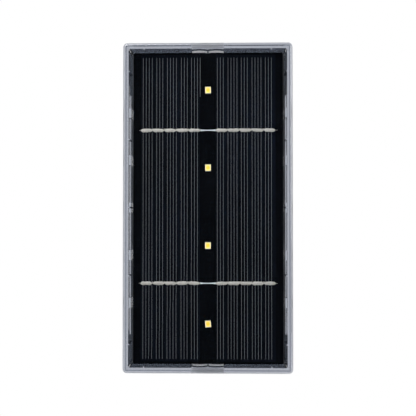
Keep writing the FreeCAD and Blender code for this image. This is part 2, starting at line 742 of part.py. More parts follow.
def led_housing(number, x, z, turn):
    """White housing with a flared window for its fill."""
    body = new_body(f"led_housing_{number}")
    add(body, "base", [rectangle(size.led_width, size.led_length)], 0.0, size.led_thick)
    window = cut(body, "window", [led_window()], size.led_thick - size.led_window_depth, size.led_thick)
    tie(window, "TaperAngle", size.led_flare)
    seat(body, x, z, turn)
    return body


def led_fill(number, x, z, turn):
    """Yellow fill in the housing's window."""
    body = new_body(f"led_fill_{number}")
    floor, face = size.led_thick - size.led_window_depth, size.led_thick - size.led_fill_drop
    fill = add(body, "fill", [led_window()], floor, face)
    tie(fill, "TaperAngle", size.led_flare)
    seat(body, x, z, turn)
    return body


def seat(body, x, z, turn):
    """Seats a light's piece on the board, turned a little in the board's plane."""
    body.Placement = FreeCAD.Placement(FreeCAD.Vector(), FreeCAD.Rotation(FreeCAD.Vector(0, -1, 0), turn.number))
    tie(body, "Placement.Rotation.Angle", turn)
    put(body, x, z, board_front)


def leds():
    """The row of lights down the bare middle, not seated quite square."""
    pieces = []
    turns = (size.led_turn_one, size.led_turn_two, size.led_turn_three, size.led_turn_four)
    pitch = board_height / len(turns)
    for index, turn in enumerate(turns):
        z = size.row_lift + pitch * ((len(turns) - 1) / 2 - index)
        pieces.append(led_housing(index + 1, 0.0, z, turn))
        pieces.append(led_fill(index + 1, 0.0, z, turn))
    return pieces


# ---------------------------------------------------------------- battery


def battery_cell():
    """Round cell with its raised positive end up."""
    body = new_body("battery_cell")
    zero, half, radius = Size.of(0), size.cell_length / 2, size.cell_radius
    shoulder = half - size.cell_nipple_rise
    profile = [
        (zero, -half), (radius, -half), (radius, shoulder), (size.cell_nipple, shoulder),
        (size.cell_nipple, half), (zero, half),
    ]
    revolve(body, "cell", profile)
    put(body, size.cell_x, 0.0, cell_depth)
    return body


def battery_wrap():
    """Shrink sleeve round the cell, short of its ends."""
    body = new_body("battery_wrap")
    low = size.wrap_end - size.cell_length / 2
    high = size.cell_length / 2 - size.cell_nipple_rise - size.wrap_end
    inner = size.cell_radius
    revolve(body, "sleeve", [(inner, low), (wrap_radius, low), (wrap_radius, high), (inner, high)])
    put(body, size.cell_x, 0.0, cell_depth)
    return body


def battery_tabs():
    """Welded tabs at both ends of the cell."""
    end = size.cell_length / 2 + size.tab_thick / 2
    rear = cell_depth - size.tab_length / 2
    return [
        block(name, size.tab_width, size.tab_thick, size.tab_length, size.cell_x, z, rear)
        for name, z in (("battery_tab_upper", end), ("battery_tab_lower", -end))
    ]


def battery_cushion():
    """Foam strip between the battery and the solar board."""
    rear = board_back - size.cushion_thick
    return block(
        "battery_cushion", size.cushion_width, size.cushion_length, size.cushion_thick, size.cell_x, 0.0, rear
    )


# ---------------------------------------------------------------- control board


def control_board():
    """Small board that charges the cell and switches the lights."""
    body = new_body("control_board")
    outline = rectangle(size.control_width, size.control_height, size.control_x)
    holes = [disc(size.pilot_radius + size.screw_gap, x, z) for x, z in boss_centres()]
    add(body, "panel", [outline, *holes], control_depth, control_front)
    return body


def stand_on_board(body, x, z):
    """Stands a turned piece on the control board's front."""
    body.Placement = FreeCAD.Placement(FreeCAD.Vector(), FreeCAD.Rotation(FreeCAD.Vector(1, 0, 0), 90))
    put(body, x, z, control_front)
    return body


def board_screws():
    """Pan-head screws through the control board into the bosses."""
    screws = []
    zero, head, shank, rise = Size.of(0), size.screw_head, size.pilot_radius, size.screw_head_rise
    for label, (x, z) in zip(("board_screw_upper", "board_screw_lower"), boss_centres()):
        body = new_body(label)
        profile = [
            (zero, -size.screw_length), (shank, -size.screw_length), (shank, zero), (head, zero),
            (head, rise), (zero, rise),
        ]
        revolve(body, "screw", profile)
        screws.append(stand_on_board(body, x, z))
    return screws


def controller_chip():
    """Chip with legs along both sides."""
    body = new_body("controller_chip")
    add(body, "package", [rectangle(size.chip_width, size.chip_height)], size.chip_lift, size.chip_thick)
    x = (size.chip_width + size.chip_leg_reach) / 2
    low = -(size.chip_leg_pitch * (size.chip_legs - 1) / 2)
    legs = [rectangle(size.chip_leg_reach, size.chip_leg, side, low) for side in (x, -x)]
    first = add(body, "legs", legs, 0.0, size.chip_leg_thick)
    repeat(body, first, size.chip_leg_pitch, size.chip_legs)
    put(body, size.control_x - size.part_offset, size.part_offset, control_front)
    return body


def choke():
    """Square shielded choke with bevelled corners."""
    body = new_body("choke")
    shield = bevelled(size.choke_width, size.choke_width, size.choke_bevel)
    add(body, "shield", [shield], 0.0, size.choke_height)
    put(body, size.control_x + size.part_offset, size.part_offset, control_front)
    return body


def storage_capacitor():
    """Can capacitor on a wider foot."""
    zero, can, foot, tall = Size.of(0), size.can_radius, size.can_foot, size.can_height
    body = new_body("storage_capacitor")
    profile = [(zero, zero), (can + foot, zero), (can + foot, foot), (can, foot), (can, tall), (zero, tall)]
    revolve(body, "can", profile)
    return stand_on_board(body, size.control_x + size.part_offset, -size.part_offset)


# ---------------------------------------------------------------- button


def switch_body():
    """Push switch on the rear of the control board, bored for its plunger."""
    body = new_body("switch_body")
    case = rectangle(size.switch_width, size.switch_width, size.button_x, size.button_z)
    add(body, "case", [case], switch_rear, control_depth)
    bore = disc(size.plunger_radius + size.plunger_gap, size.button_x, size.button_z)
    cut(body, "bore", [bore], switch_rear, switch_rear + size.plunger_seat + size.button_stroke + size.plunger_gap)
    return body


def switch_plunger():
    """Plunger between the button and the switch."""
    body = new_body("switch_plunger")
    stem = disc(size.plunger_radius, size.button_x, size.button_z)
    add(body, "stem", [stem], flange_front, switch_rear + size.plunger_seat)
    return body


def button_cap():
    """Round button, flush in the back face, kept in by its flange."""
    body = new_body("button_cap")
    add(body, "shaft", [disc(size.button_radius, size.button_x, size.button_z)], size.button_recess, flange_rear)
    flange = disc(size.button_radius + size.button_flange, size.button_x, size.button_z)
    add(body, "flange", [flange], flange_rear, flange_front)
    return body


def button_seal():
    """Flat seal ring on the end of the guide, under the button's flange."""
    body = new_body("button_seal")
    inner = size.button_radius + size.button_gap
    radii = (inner + size.button_seal_width, inner)
    ring = [disc(radius, size.button_x, size.button_z) for radius in radii]
    add(body, "ring", ring, guide_top, guide_top + size.button_seal_thick)
    return body


# ---------------------------------------------------------------- leads and ribbon


def bent_path(points):
    """Straight runs joined by tangent arcs, each as large as its two runs allow."""
    edges, start = [], points[0]
    for before, corner, after in zip(points, points[1:], points[2:]):
        arriving, leaving = corner - before, after - corner
        reach = 0.45 * min(arriving.Length, leaving.Length)
        one = corner - arriving.normalize() * reach
        two = corner + leaving.normalize() * reach
        inward = (one + two) * 0.5 - corner
        radius = reach * one.distanceToPoint(two) / 2 / inward.Length
        print(f"bend radius {radius:.1f} mm")
        middle = corner + inward.normalize() * (math.hypot(radius, reach) - radius)
        edges += [Part.LineSegment(start, one).toShape(), Part.Arc(one, middle, two).toShape()]
        start = two
    edges.append(Part.LineSegment(start, points[-1]).toShape())
    return Part.Wire(edges)


def run_along(label, section, route):
    """Piece of one section along a route of (x, z, depth) points."""
    points = [FreeCAD.Vector(x, -depth, z) for x, z, depth in route]
    path = bent_path(points)
    face = Part.Face(section(points[0], points[1] - points[0]))
    item = doc.addObject("Part::Feature", label)
    item.Label = label
    item.Shape = path.makePipe(face)
    item.Placement = FreeCAD.Placement()
    print(f"{label}: volume {item.Shape.Volume:.2f}, section times length {face.Area * path.Length:.2f}")
    return item


def battery_leads():
    """Round leads from the battery's ends to the control board's corners."""
    radius, lift = size.lead_radius.number, size.lead_lift.number + size.lead_radius.number
    left = size.control_x.number - size.control_width.number / 2
    edge = size.control_height.number / 2
    cell, level = size.cell_x.number, control_front.number + lift
    end = size.cell_length.number / 2 + size.tab_thick.number + lift
    reach = radius * 4

    def section(start, along):
        return Part.Wire([Part.Circle(start, along, radius).toShape()])

    leads = []
    for name, side in (("battery_lead_red", 1), ("battery_lead_black", -1)):
        route = [
            (cell, end * side, cell_depth.number), (left - reach * 2, end * side, level),
            (left + reach, (edge - reach) * side, level),
        ]
        leads.append(run_along(name, section, route))
    return leads


def panel_ribbon():
    """Flat ribbon of cores from the back of the solar board to the control board."""
    half, thick, lift = size.ribbon_cable.number / 2, size.ribbon_cable_thick.number, size.lead_lift.number
    middle, edge = size.control_x.number, size.control_height.number / 2
    reach = thick * 8
    board, control = board_back.number - lift - thick / 2, control_front.number + lift + thick / 2

    def section(start, along):
        level = FreeCAD.Vector(0, thick / 2, 0)
        across = FreeCAD.Vector(half, 0, 0)
        corners = [start - across - level, start + across - level, start + across + level, start - across + level]
        return Part.makePolygon(corners + corners[:1])

    route = [
        (middle, edge + reach * 1.9, board), (middle, edge + reach, board),
        (middle, edge, control), (middle, edge - reach * 0.9, control),
    ]
    return run_along("panel_ribbon", section, route)


def check(document):
    """Stops if any item failed or any sub-part has no sound shape."""
    for item in document.Objects:
        if any(word in state for state in item.State for word in ("Invalid", "Error")):
            raise RuntimeError(f"{item.Name} failed: {item.State}")


def main():
    pieces = [front_cover(), back_cover(), perimeter_seal(), board_bond(), solar_board()]
    pieces += solar_strips() + solder_runs() + leds()
    pieces += [battery_cell(), battery_wrap(), battery_cushion()] + battery_tabs()
    pieces += [control_board(), controller_chip(), choke(), storage_capacitor()] + board_screws()
    pieces += [switch_body(), switch_plunger(), button_cap(), button_seal(), panel_ribbon()]
    pieces += battery_leads()
    doc.recompute()
    check(doc)
    os.makedirs("parts", exist_ok=True)
    for piece in pieces:
        shape = piece.Shape
        if shape.isNull() or not shape.isValid() or not shape.Solids:
            raise RuntimeError(f"{piece.Label} has no sound solid")
        shape.exportStep(f"parts/{piece.Label}.step")
        print(f"{piece.Label}: {len(shape.Solids)} solid, {shape.Volume:.1f} mm3, {shape.BoundBox}")


main()
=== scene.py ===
"""Dresses the solar fence light: clear cover, black back, solar strips, solder runs and lights."""
import json
import logging
import math
import random
from dataclasses import dataclass, replace
from enum import Enum
from functools import reduce
from typing import Callable, Iterable

import bmesh
import bpy
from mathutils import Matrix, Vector, noise

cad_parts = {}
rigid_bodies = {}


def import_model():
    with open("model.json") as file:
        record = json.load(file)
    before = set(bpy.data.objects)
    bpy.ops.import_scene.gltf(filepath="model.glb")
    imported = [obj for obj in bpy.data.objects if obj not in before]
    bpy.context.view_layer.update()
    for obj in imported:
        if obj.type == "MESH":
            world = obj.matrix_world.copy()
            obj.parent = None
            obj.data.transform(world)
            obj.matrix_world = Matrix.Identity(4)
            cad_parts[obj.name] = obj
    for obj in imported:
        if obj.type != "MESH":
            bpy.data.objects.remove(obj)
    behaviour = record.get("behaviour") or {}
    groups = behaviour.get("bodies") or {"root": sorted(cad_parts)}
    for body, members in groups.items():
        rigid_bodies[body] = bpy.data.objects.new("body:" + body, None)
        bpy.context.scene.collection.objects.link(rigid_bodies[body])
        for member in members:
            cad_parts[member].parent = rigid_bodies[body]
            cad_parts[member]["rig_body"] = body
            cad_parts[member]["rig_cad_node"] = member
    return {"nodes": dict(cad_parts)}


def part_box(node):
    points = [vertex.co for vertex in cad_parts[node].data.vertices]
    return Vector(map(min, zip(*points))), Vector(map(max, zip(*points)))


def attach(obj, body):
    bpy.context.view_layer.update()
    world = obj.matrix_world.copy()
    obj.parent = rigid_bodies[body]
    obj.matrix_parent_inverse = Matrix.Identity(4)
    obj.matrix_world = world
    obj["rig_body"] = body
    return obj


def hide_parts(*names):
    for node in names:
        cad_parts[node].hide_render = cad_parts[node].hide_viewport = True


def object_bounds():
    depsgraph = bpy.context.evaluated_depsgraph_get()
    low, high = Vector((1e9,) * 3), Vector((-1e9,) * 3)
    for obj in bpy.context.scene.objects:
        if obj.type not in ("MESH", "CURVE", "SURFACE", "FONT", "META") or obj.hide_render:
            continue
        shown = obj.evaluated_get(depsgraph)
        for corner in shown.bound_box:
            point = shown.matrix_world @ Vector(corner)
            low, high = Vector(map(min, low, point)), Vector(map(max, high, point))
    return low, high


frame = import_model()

MM = 0.001
SAME = 1e-6  # metres: places closer than this are the same
FLAT_ANGLE = 0.4  # degrees: faces that fold by less are one face
SHARP_ANGLE = 40.0  # degrees: edges that fold by more get a radius
SMOOTH_ANGLE = 32.0  # degrees: edges that fold by more stay sharp
FRONTWARD = -0.5  # a face looks to the front where its normal's Y is less
CAD_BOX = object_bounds()
LOG = logging.getLogger("fence_light")
BODY = "light"
SIDES = ("left", "right")
STRIPS = range(1, 6)

Color = tuple[float, float, float]
Point = tuple[float, float, float]
Piece = bpy.types.Object
Material = bpy.types.Material
Tree = bpy.types.NodeTree
Node = bpy.types.Node
Socket = bpy.types.NodeSocket


class Face(Enum):
    """What a selection in edit mode picks."""

    VERTEX = "VERT"
    EDGE = "EDGE"
    SURFACE = "FACE"


# ---------------------------------------------------------------- modelling helpers


def deselect() -> None:
    """Leaves no object selected."""
    bpy.ops.object.select_all(action="DESELECT")


def activate(item: Piece) -> Piece:
    """Makes one object the only selected and active one.

    Args:
        item: the object to work on.

    Returns:
        The same object.
    """
    deselect()
    item.select_set(True)
    bpy.context.view_layer.objects.active = item
    return item


def settle(item: Piece, name: str) -> Piece:
    """Names a piece and moves its place, turn and scale into its mesh.

    Args:
        item: the finished primitive.
        name: the piece's name.

    Returns:
        The same object, now at the origin.
    """
    activate(item)
    bpy.ops.object.transform_apply(location=True, rotation=True, scale=True)
    item.name = item.data.name = name
    return item


def add_block(name: str, low: Point, high: Point) -> Piece:
    """Adds a box between two corners.

    Args:
        name: the new object's name.
        low: lowest corner, in metres.
        high: highest corner, in metres.

    Returns:
        The new object.
    """
    deselect()
    middle = [(a + b) / 2 for a, b in zip(low, high)]
    bpy.ops.mesh.primitive_cube_add(size=1.0, location=middle)
    item = bpy.context.object
    item.scale = [b - a for a, b in zip(low, high)]
    return settle(item, name)


def pick(item: Piece, kind: Face, test: Callable[[Vector, Vector], bool]) -> int:
    """Enters edit mode and selects what passes a test.

    Args:
        item: the mesh object.
        kind: whether vertices, edges or faces are tested.
        test: takes the middle and the normal (or the edge's run) and says yes or no.

    Returns:
        How many were picked. The object is left in edit mode.
    """
    activate(item)
    bpy.ops.object.mode_set(mode="EDIT")
    bpy.ops.mesh.select_mode(type=kind.value)
    bpy.ops.mesh.select_all(action="DESELECT")
    mesh = bmesh.from_edit_mesh(item.data)
    found = 0
    if kind is Face.VERTEX:
        members = [(v, v.co, v.normal) for v in mesh.verts]
    elif kind is Face.EDGE:
        ends = [(edge, *(vertex.co for vertex in edge.verts)) for edge in mesh.edges]
        members = [(edge, (start + end) / 2, end - start) for edge, start, end in ends]
    else:
        members = [(f, f.calc_center_median(), f.normal) for f in mesh.faces]
    for member, middle, run in members:
        if test(middle, run):
            member.select_set(True)
            found += 1
    mesh.select_flush(True)
    bmesh.update_edit_mesh(item.data)
    return found


def edit_all(item: Piece) -> None:
    """Enters edit mode with the whole piece selected."""
    activate(item)
    bpy.ops.object.mode_set(mode="EDIT")
    bpy.ops.mesh.select_all(action="SELECT")


def leave_edit() -> None:
    """Goes back to object mode."""
    bpy.ops.object.mode_set(mode="OBJECT")


def apply_modifier(item: Piece, kind: str, **settings: object) -> None:
    """Adds a modifier and applies it at once.

    Args:
        item: the mesh object.
        kind: the modifier's type.
        settings: its values.
    """
    activate(item)
    modifier = item.modifiers.new(kind.title(), kind)
    for key, value in settings.items():
        setattr(modifier, key, value)
    bpy.ops.object.modifier_apply(modifier=modifier.name)


def smooth(item: Piece, degrees: float) -> None:
    """Shades a piece smooth up to an angle.

    Args:
        item: the mesh object.
        degrees: steeper folds stay sharp.
    """
    activate(item)
    bpy.ops.object.shade_smooth_by_angle(angle=math.radians(degrees))


def join(items: list[Piece]) -> Piece:
    """Joins objects into the first one.

    Args:
        items: two or more mesh objects.

    Returns:
        The first object, which holds them all.
    """
    activate(items[0])
    for item in items[1:]:
        item.select_set(True)
    bpy.ops.object.join()
    return bpy.context.object


def moulded_copy(
    node: str, name: str, radius: float, segments: int = 2, shape: Callable[[Piece], None] | None = None
) -> Piece:
    """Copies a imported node, welds it and gives its sharp edges a small moulded radius.

    Args:
        node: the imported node's name.
        name: the new piece's name.
        radius: edge radius in metres.
        segments: faces across each rounded edge.
        shape: further shaping, done before the small radii.

    Returns:
        The new piece, which stands for the node.
    """
    item = frame["nodes"][node].copy()
    item.data = item.data.copy()
    item.parent = None
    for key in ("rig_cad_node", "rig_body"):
        if key in item:
            del item[key]
    bpy.context.scene.collection.objects.link(item)
    item.name = item.data.name = name
    edit_all(item)
    bpy.ops.mesh.remove_doubles(threshold=SAME)
    bpy.ops.mesh.dissolve_limited(angle_limit=math.radians(FLAT_ANGLE))
    leave_edit()
    if shape:
        shape(item)
    apply_modifier(
        item, "BEVEL", width=radius, segments=segments, limit_method="ANGLE",
        angle_limit=math.radians(SHARP_ANGLE), use_clamp_overlap=True, harden_normals=False,
    )
    smooth(item, SMOOTH_ANGLE)
    apply_modifier(item, "WEIGHTED_NORMAL", mode="FACE_AREA", weight=100, keep_sharp=True)
    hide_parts(node)
    return item


def finish_piece(item: Piece, slot: str, material: Material, body: str = BODY) -> None:
    """Gives a new piece its material and the body that it rides on, and logs its slot.

    Args:
        item: the new piece.
        slot: the record's material slot.
        material: what it is made of.
        body: the body that it rides on.
    """
    item.data.materials.clear()
    item.data.materials.append(material)
    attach(item, body)
    LOG.info("%s: %d faces, %s", item.name, len(item.data.polygons), slot)


def dress(nodes: Iterable[str], material: Material) -> None:
    """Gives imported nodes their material.

    Args:
        nodes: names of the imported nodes.
        material: what they are made of.
    """
    for node in nodes:
        item = frame["nodes"][node]
        if not item.material_slots:
            item.data.materials.append(material)
        for place in item.material_slots:
            place.material = material
        LOG.info("%s: %s", node, material.name)


# ---------------------------------------------------------------- node trees


class Nodes:
    """A node tree with short calls to fill it."""

    def __init__(self, tree: Tree) -> None:
        """Args:
        tree: a material's, world's or group's tree.
        """
        self.tree = tree

    def add(self, kind: str, settings: dict[str, object] | None = None, **values: object) -> Node:
        """Adds a node.

        Args:
            kind: the node's type, without the words ShaderNode.
            settings: the node's own properties.
            values: sockets, numbers or colours by input name, with underscores for spaces.

        Returns:
            The new node.
        """
        node = self.tree.nodes.new(f"ShaderNode{kind}")
        for key, value in (settings or {}).items():
            setattr(node, key, value)
        self.fill(node, **values)
        return node

    def fill(self, node: Node, **values: object) -> None:
        """Gives a node's inputs their sockets, numbers or colours."""
        for key, value in values.items():
            self.put(node.inputs[key.replace("_", " ")], value)

    def put(self, place: Socket, value: object) -> None:
        """Gives one input another node's output, a number or a colour."""
        if isinstance(value, Socket):
            self.tree.links.new(value, place)
        else:
            place.default_value = (*value, 1.0) if place.type == "RGBA" else value

    def math(self, kind: str, *parts: object, clamp: bool = False) -> Socket:
        """Adds a sum on one or two sockets or numbers.

        Args:
            kind: the operation.
            parts: the sockets or numbers.
            clamp: keeps the result from 0 to 1.

        Returns:
            The result's socket.
        """
        node = self.add("Math", {"operation": kind, "use_clamp": clamp})
        for place, value in zip(node.inputs, parts):
            self.put(place, value)
        return node.outputs[0]

    def times(self, *parts: object) -> Socket:
        """Multiplies sockets or numbers."""
        return reduce(lambda one, two: self.math("MULTIPLY", one, two), parts)

    def most(self, *parts: object) -> Socket:
        """Takes the highest of sockets or numbers."""
        return reduce(lambda one, two: self.math("MAXIMUM", one, two), parts)

    def reach(self, one: Socket, two: Socket) -> Socket:
        """Measures how far a place lies from the middle of two coordinates."""
        squares = [self.math("POWER", part, 2.0) for part in (one, two)]
        return self.math("SQRT", self.math("ADD", *squares))

    def spread(
        self, value: Socket, low: float, high: float, to: tuple[float, float] = (0.0, 1.0)
    ) -> Socket:
        """Maps a range of values onto another, kept within it.

        Args:
            value: the socket that is read.
            low: value that gives the first end.
            high: value that gives the second end.
            to: the two ends of the result.

        Returns:
            The result's socket.
        """
        node = self.add(
            "MapRange", {"clamp": True}, Value=value, From_Min=low, From_Max=high, To_Min=to[0], To_Max=to[1]
        )
        return node.outputs[0]

    def blend(self, share: object, one: object, two: object, kind: str = "MIX") -> Socket:
        """Mixes two colours.

        Args:
            share: socket or number, 0 for the first colour.
            one: first colour or socket.
            two: second colour or socket.
            kind: how they combine.

        Returns:
            The mixed colour's socket.
        """
        node = self.add("Mix", {"data_type": "RGBA", "blend_type": kind})
        for place, value in ((0, share), (6, one), (7, two)):
            self.put(node.inputs[place], value)
        return node.outputs[2]

    def mix(self, share: Socket, one: Node, two: Node, output: Node) -> None:
        """Mixes two shaders into an output's surface.

        Args:
            share: 0 for the first shader.
            one: first shader.
            two: second shader.
            output: the material's or world's output.
        """
        node = self.add("MixShader")
        for place, socket in zip(node.inputs, (share, one.outputs[0], two.outputs[0])):
            self.put(place, socket)
        self.put(output.inputs["Surface"], node.outputs[0])

    def ray(self, kind: str) -> Socket:
        """Returns 1 for one kind of ray, such as Camera or Shadow."""
        return self.add("LightPath").outputs[f"Is {kind} Ray"]

    def find(self, kind: str) -> Node:
        """Returns a node that the tree already has, by its type."""
        return next(node for node in self.tree.nodes if node.type == kind)

    def coordinates(self) -> Socket:
        """Returns the piece's own coordinates, in metres."""
        return self.add("TexCoord").outputs["Object"]

    def axes(self) -> tuple[Socket, Socket, Socket]:
        """Returns the piece's X, Y and Z."""
        return tuple(self.add("SeparateXYZ", Vector=self.coordinates()).outputs)

    def cloud(self, scale: float, detail: float, stretch: Point | None = None) -> Socket:
        """Adds a noise on the piece's coordinates.

        Args:
            scale: lumps per metre.
            detail: octaves of finer lumps.
            stretch: how much finer it is along each axis.

        Returns:
            The noise's value.
        """
        source = self.coordinates()
        if stretch:
            source = self.add("Mapping", Vector=source, Scale=stretch).outputs[0]
        return self.add("TexNoise", Vector=source, Scale=scale, Detail=detail, Roughness=0.6).outputs[0]


class Effect(Enum):
    """Shared surface effects, each one node group."""

    GRAIN = "Moulded grain"
    DRIFT = "Tone drift"
    DUST = "Settled dust"


def effect_tree(effect: Effect) -> Tree:
    """Builds or finds a shared effect's node group.

    Args:
        effect: which effect.

    Returns:
        The node group.
    """
    if effect.value in bpy.data.node_groups:
        return bpy.data.node_groups[effect.value]
    tree = bpy.data.node_groups.new(effect.value, "ShaderNodeTree")
    {Effect.GRAIN: fill_grain, Effect.DRIFT: fill_drift, Effect.DUST: fill_dust}[effect](tree)
    return tree


def sockets(
    tree: Tree, inputs: dict[str, object], outputs: dict[str, str]
) -> tuple[Node, Node]:
    """Gives a group its named inputs and outputs.

    Args:
        tree: the group.
        inputs: names with their defaults, a number or a colour.
        outputs: names with their kinds, Float or Color.

    Returns:
        The group's input node and output node.
    """
    for name, value in inputs.items():
        kind = "Color" if isinstance(value, tuple) else "Float"
        place = tree.interface.new_socket(name, in_out="INPUT", socket_type=f"NodeSocket{kind}")
        place.default_value = (*value, 1.0) if isinstance(value, tuple) else value
    for name, kind in outputs.items():
        tree.interface.new_socket(name, in_out="OUTPUT", socket_type=f"NodeSocket{kind}")
    return tree.nodes.new("NodeGroupInput"), tree.nodes.new("NodeGroupOutput")


def fill_grain(tree: Tree) -> None:
    """Fine moulded grain: a height and a roughness that changes with it."""
    come, go = sockets(
        tree, {"Scale": 3000.0, "Smooth": 0.3, "Rough": 0.5}, {"Roughness": "Float", "Height": "Float"}
    )
    broad_scale, low, high = 90.0, 0.3, 0.7
    nodes = Nodes(tree)
    scale, smoothest, roughest = (come.outputs[name] for name in ("Scale", "Smooth", "Rough"))
    fine = nodes.add("TexNoise", Vector=nodes.coordinates(), Scale=scale, Detail=3.0, Roughness=0.55)
    share = nodes.times(nodes.math("ADD", fine.outputs[0], nodes.cloud(broad_scale, 3.0)), 0.5)
    step = nodes.times(nodes.math("SUBTRACT", roughest, smoothest), nodes.spread(share, low, high))
    nodes.fill(go, Roughness=nodes.math("ADD", smoothest, step), Height=fine.outputs[0])


def fill_drift(tree: Tree) -> None:
    """Slow change of tone over a surface."""
    come, go = sockets(tree, {"Base": (0.5, 0.5, 0.5), "Amount": 0.15, "Scale": 60.0}, {"Color": "Color"})
    nodes = Nodes(tree)
    base, amount, scale = (come.outputs[name] for name in ("Base", "Amount", "Scale"))
    lumps = nodes.add("TexNoise", Vector=nodes.coordinates(), Scale=scale, Detail=5.0, Roughness=0.6)
    swing = nodes.times(nodes.math("SUBTRACT", lumps.outputs[0], 0.5), amount, 2.0)
    nodes.fill(go, Color=nodes.blend(1.0, base, nodes.math("ADD", swing, 1.0), "MULTIPLY"))


def fill_dust(tree: Tree) -> None:
    """Faint pale specks, more of them on faces that look up."""
    dust_color, rougher, speck_scale, low, high = (0.62, 0.6, 0.56), 0.6, 2600.0, 0.62, 0.72
    come, go = sockets(
        tree, {"Color": (0.5, 0.5, 0.5), "Amount": 0.1, "Roughness": 0.3},
        {"Color": "Color", "Roughness": "Float"},
    )
    nodes = Nodes(tree)
    specks = nodes.spread(nodes.cloud(speck_scale, 2.0), low, high)
    facing = nodes.add("SeparateXYZ", Vector=nodes.add("NewGeometry").outputs["Normal"])
    upward = nodes.spread(facing.outputs["Z"], -0.2, 1.0, (0.35, 1.0))
    share = nodes.times(specks, upward, come.outputs["Amount"])
    rough = nodes.math("ADD", come.outputs["Roughness"], nodes.times(share, rougher), clamp=True)
    nodes.fill(go, Color=nodes.blend(share, come.outputs["Color"], dust_color), Roughness=rough)


class Surface(Nodes):
    """A new material with its Principled shader and calls that fill its looks."""

    def __init__(self, name: str) -> None:
        """Args:
        name: the material's name.
        """
        self.material = bpy.data.materials.new(name)
        self.material.use_nodes = True
        super().__init__(self.material.node_tree)
        self.shader, self.output = self.find("BSDF_PRINCIPLED"), self.find("OUTPUT_MATERIAL")

    def effect(self, effect: Effect, **values: object) -> Node:
        """Places a shared effect with its own values.

        Args:
            effect: which effect.
            values: numbers, colours or sockets by input name.

        Returns:
            The group's node.
        """
        node = self.tree.nodes.new("ShaderNodeGroup")
        node.node_tree = effect_tree(effect)
        self.fill(node, **values)
        return node

    def look(self, **values: object) -> None:
        """Gives the shader its sockets and constants by input name."""
        self.fill(self.shader, **values)

    def cover(self, share: Socket, shader: Node) -> None:
        """Mixes a second shader over the material's own."""
        self.mix(share, self.shader, shader, self.output)

    def bump(self, height: Socket, depth: float) -> None:
        """Turns a height into the shader's normal.

        Args:
            height: the height's socket, 0 to 1.
            depth: how deep a height of 1 is, in metres.
        """
        self.look(Normal=self.add("Bump", Strength=1.0, Distance=depth, Height=height).outputs[0])


# ---------------------------------------------------------------- finishes


@dataclass(frozen=True)
class Moulded:
    """Moulded plastic or rubber with fine grain, slow tone drift and a little dust."""

    name: str
    color: Color
    smooth: float = 0.35
    rough: float = 0.5
    grain: float = 3000.0
    depth: float = 0.004 * MM
    drift: float = 0.12
    dust: float = 0.05
    gloss: float = 0.5

    def make(self) -> Material:
        """Returns the material."""
        surface = Surface(self.name)
        grain = surface.effect(Effect.GRAIN, Scale=self.grain, Smooth=self.smooth, Rough=self.rough)
        tone = surface.effect(Effect.DRIFT, Base=self.color, Amount=self.drift)
        dust = surface.effect(
            Effect.DUST, Color=tone.outputs["Color"], Amount=self.dust, Roughness=grain.outputs["Roughness"]
        )
        surface.look(
            Base_Color=dust.outputs["Color"], Roughness=dust.outputs["Roughness"],
            Specular_IOR_Level=self.gloss,
        )
        surface.bump(grain.outputs["Height"], self.depth)
        return surface.material


@dataclass(frozen=True)
class BareMetal:
    """Bare, plated, printed or molten metal with fine marks and uneven tone."""

    name: str
    color: Color
    smooth: float = 0.22
    rough: float = 0.42
    grain: float = 2500.0
    depth: float = 0.003 * MM
    metallic: float = 1.0
    drift: float = 0.2
    patches: float = 300.0

    def make(self) -> Material:
        """Returns the material."""
        surface = Surface(self.name)
        grain = surface.effect(Effect.GRAIN, Scale=self.grain, Smooth=self.smooth, Rough=self.rough)
        tone = surface.effect(Effect.DRIFT, Base=self.color, Amount=self.drift, Scale=self.patches)
        surface.look(
            Base_Color=tone.outputs["Color"], Roughness=grain.outputs["Roughness"], Metallic=self.metallic
        )
        surface.bump(grain.outputs["Height"], self.depth)
        return surface.material


@dataclass(frozen=True)
class CoverPlaces:
    """Where the clear cover's forms lie, from its middle and its back, and how their painted shade fades."""

    outer_x: float = CAD_BOX[1].x
    outer_z: float = CAD_BOX[1].z
    wall_x: float = 39.55 * MM
    wall_z: float = 79.45 * MM
    side_lap: float = 0.15 * MM
    end_lap: float = 0.11 * MM
    plate: float = -27.5 * MM
    rail_x: float = 39.1 * MM
    rail_start: float = -20.6 * MM
    rail_deep: float = -14.0 * MM
    rail_fade: float = 1.0 * MM
    rail_end: float = 61.0 * MM
    # share of the rails' painted shade that stays where they lie deep
    deep_shade_share: float = 0.62
    # a line along the front of the long walls is left without painted shade, so that it reads bright
    line_front: float = -26.4 * MM
    line_back: float = -23.4 * MM
    step_back: float = -23.5 * MM
    step_rise: float = 0.85 * MM
    block_x: float = 8.0 * MM
    block_z: float = 80.1 * MM
    rib_half: float = 0.4 * MM
    rib_rise: float = 1.25 * MM
    rib_pitch: float = 34.0 * MM
    end_rib_x: float = 31.8 * MM
    rim_x: float = 41.1 * MM
    rim_z: float = 81.0 * MM
    rim_back: float = -28.5 * MM
    rim_fade: float = 0.3 * MM
    # where the painted trough shade lies, measured in from the outer edge
    trough_start: float = 1.3 * MM
    trough_end: float = 1.9 * MM
    soft: float = 0.1 * MM


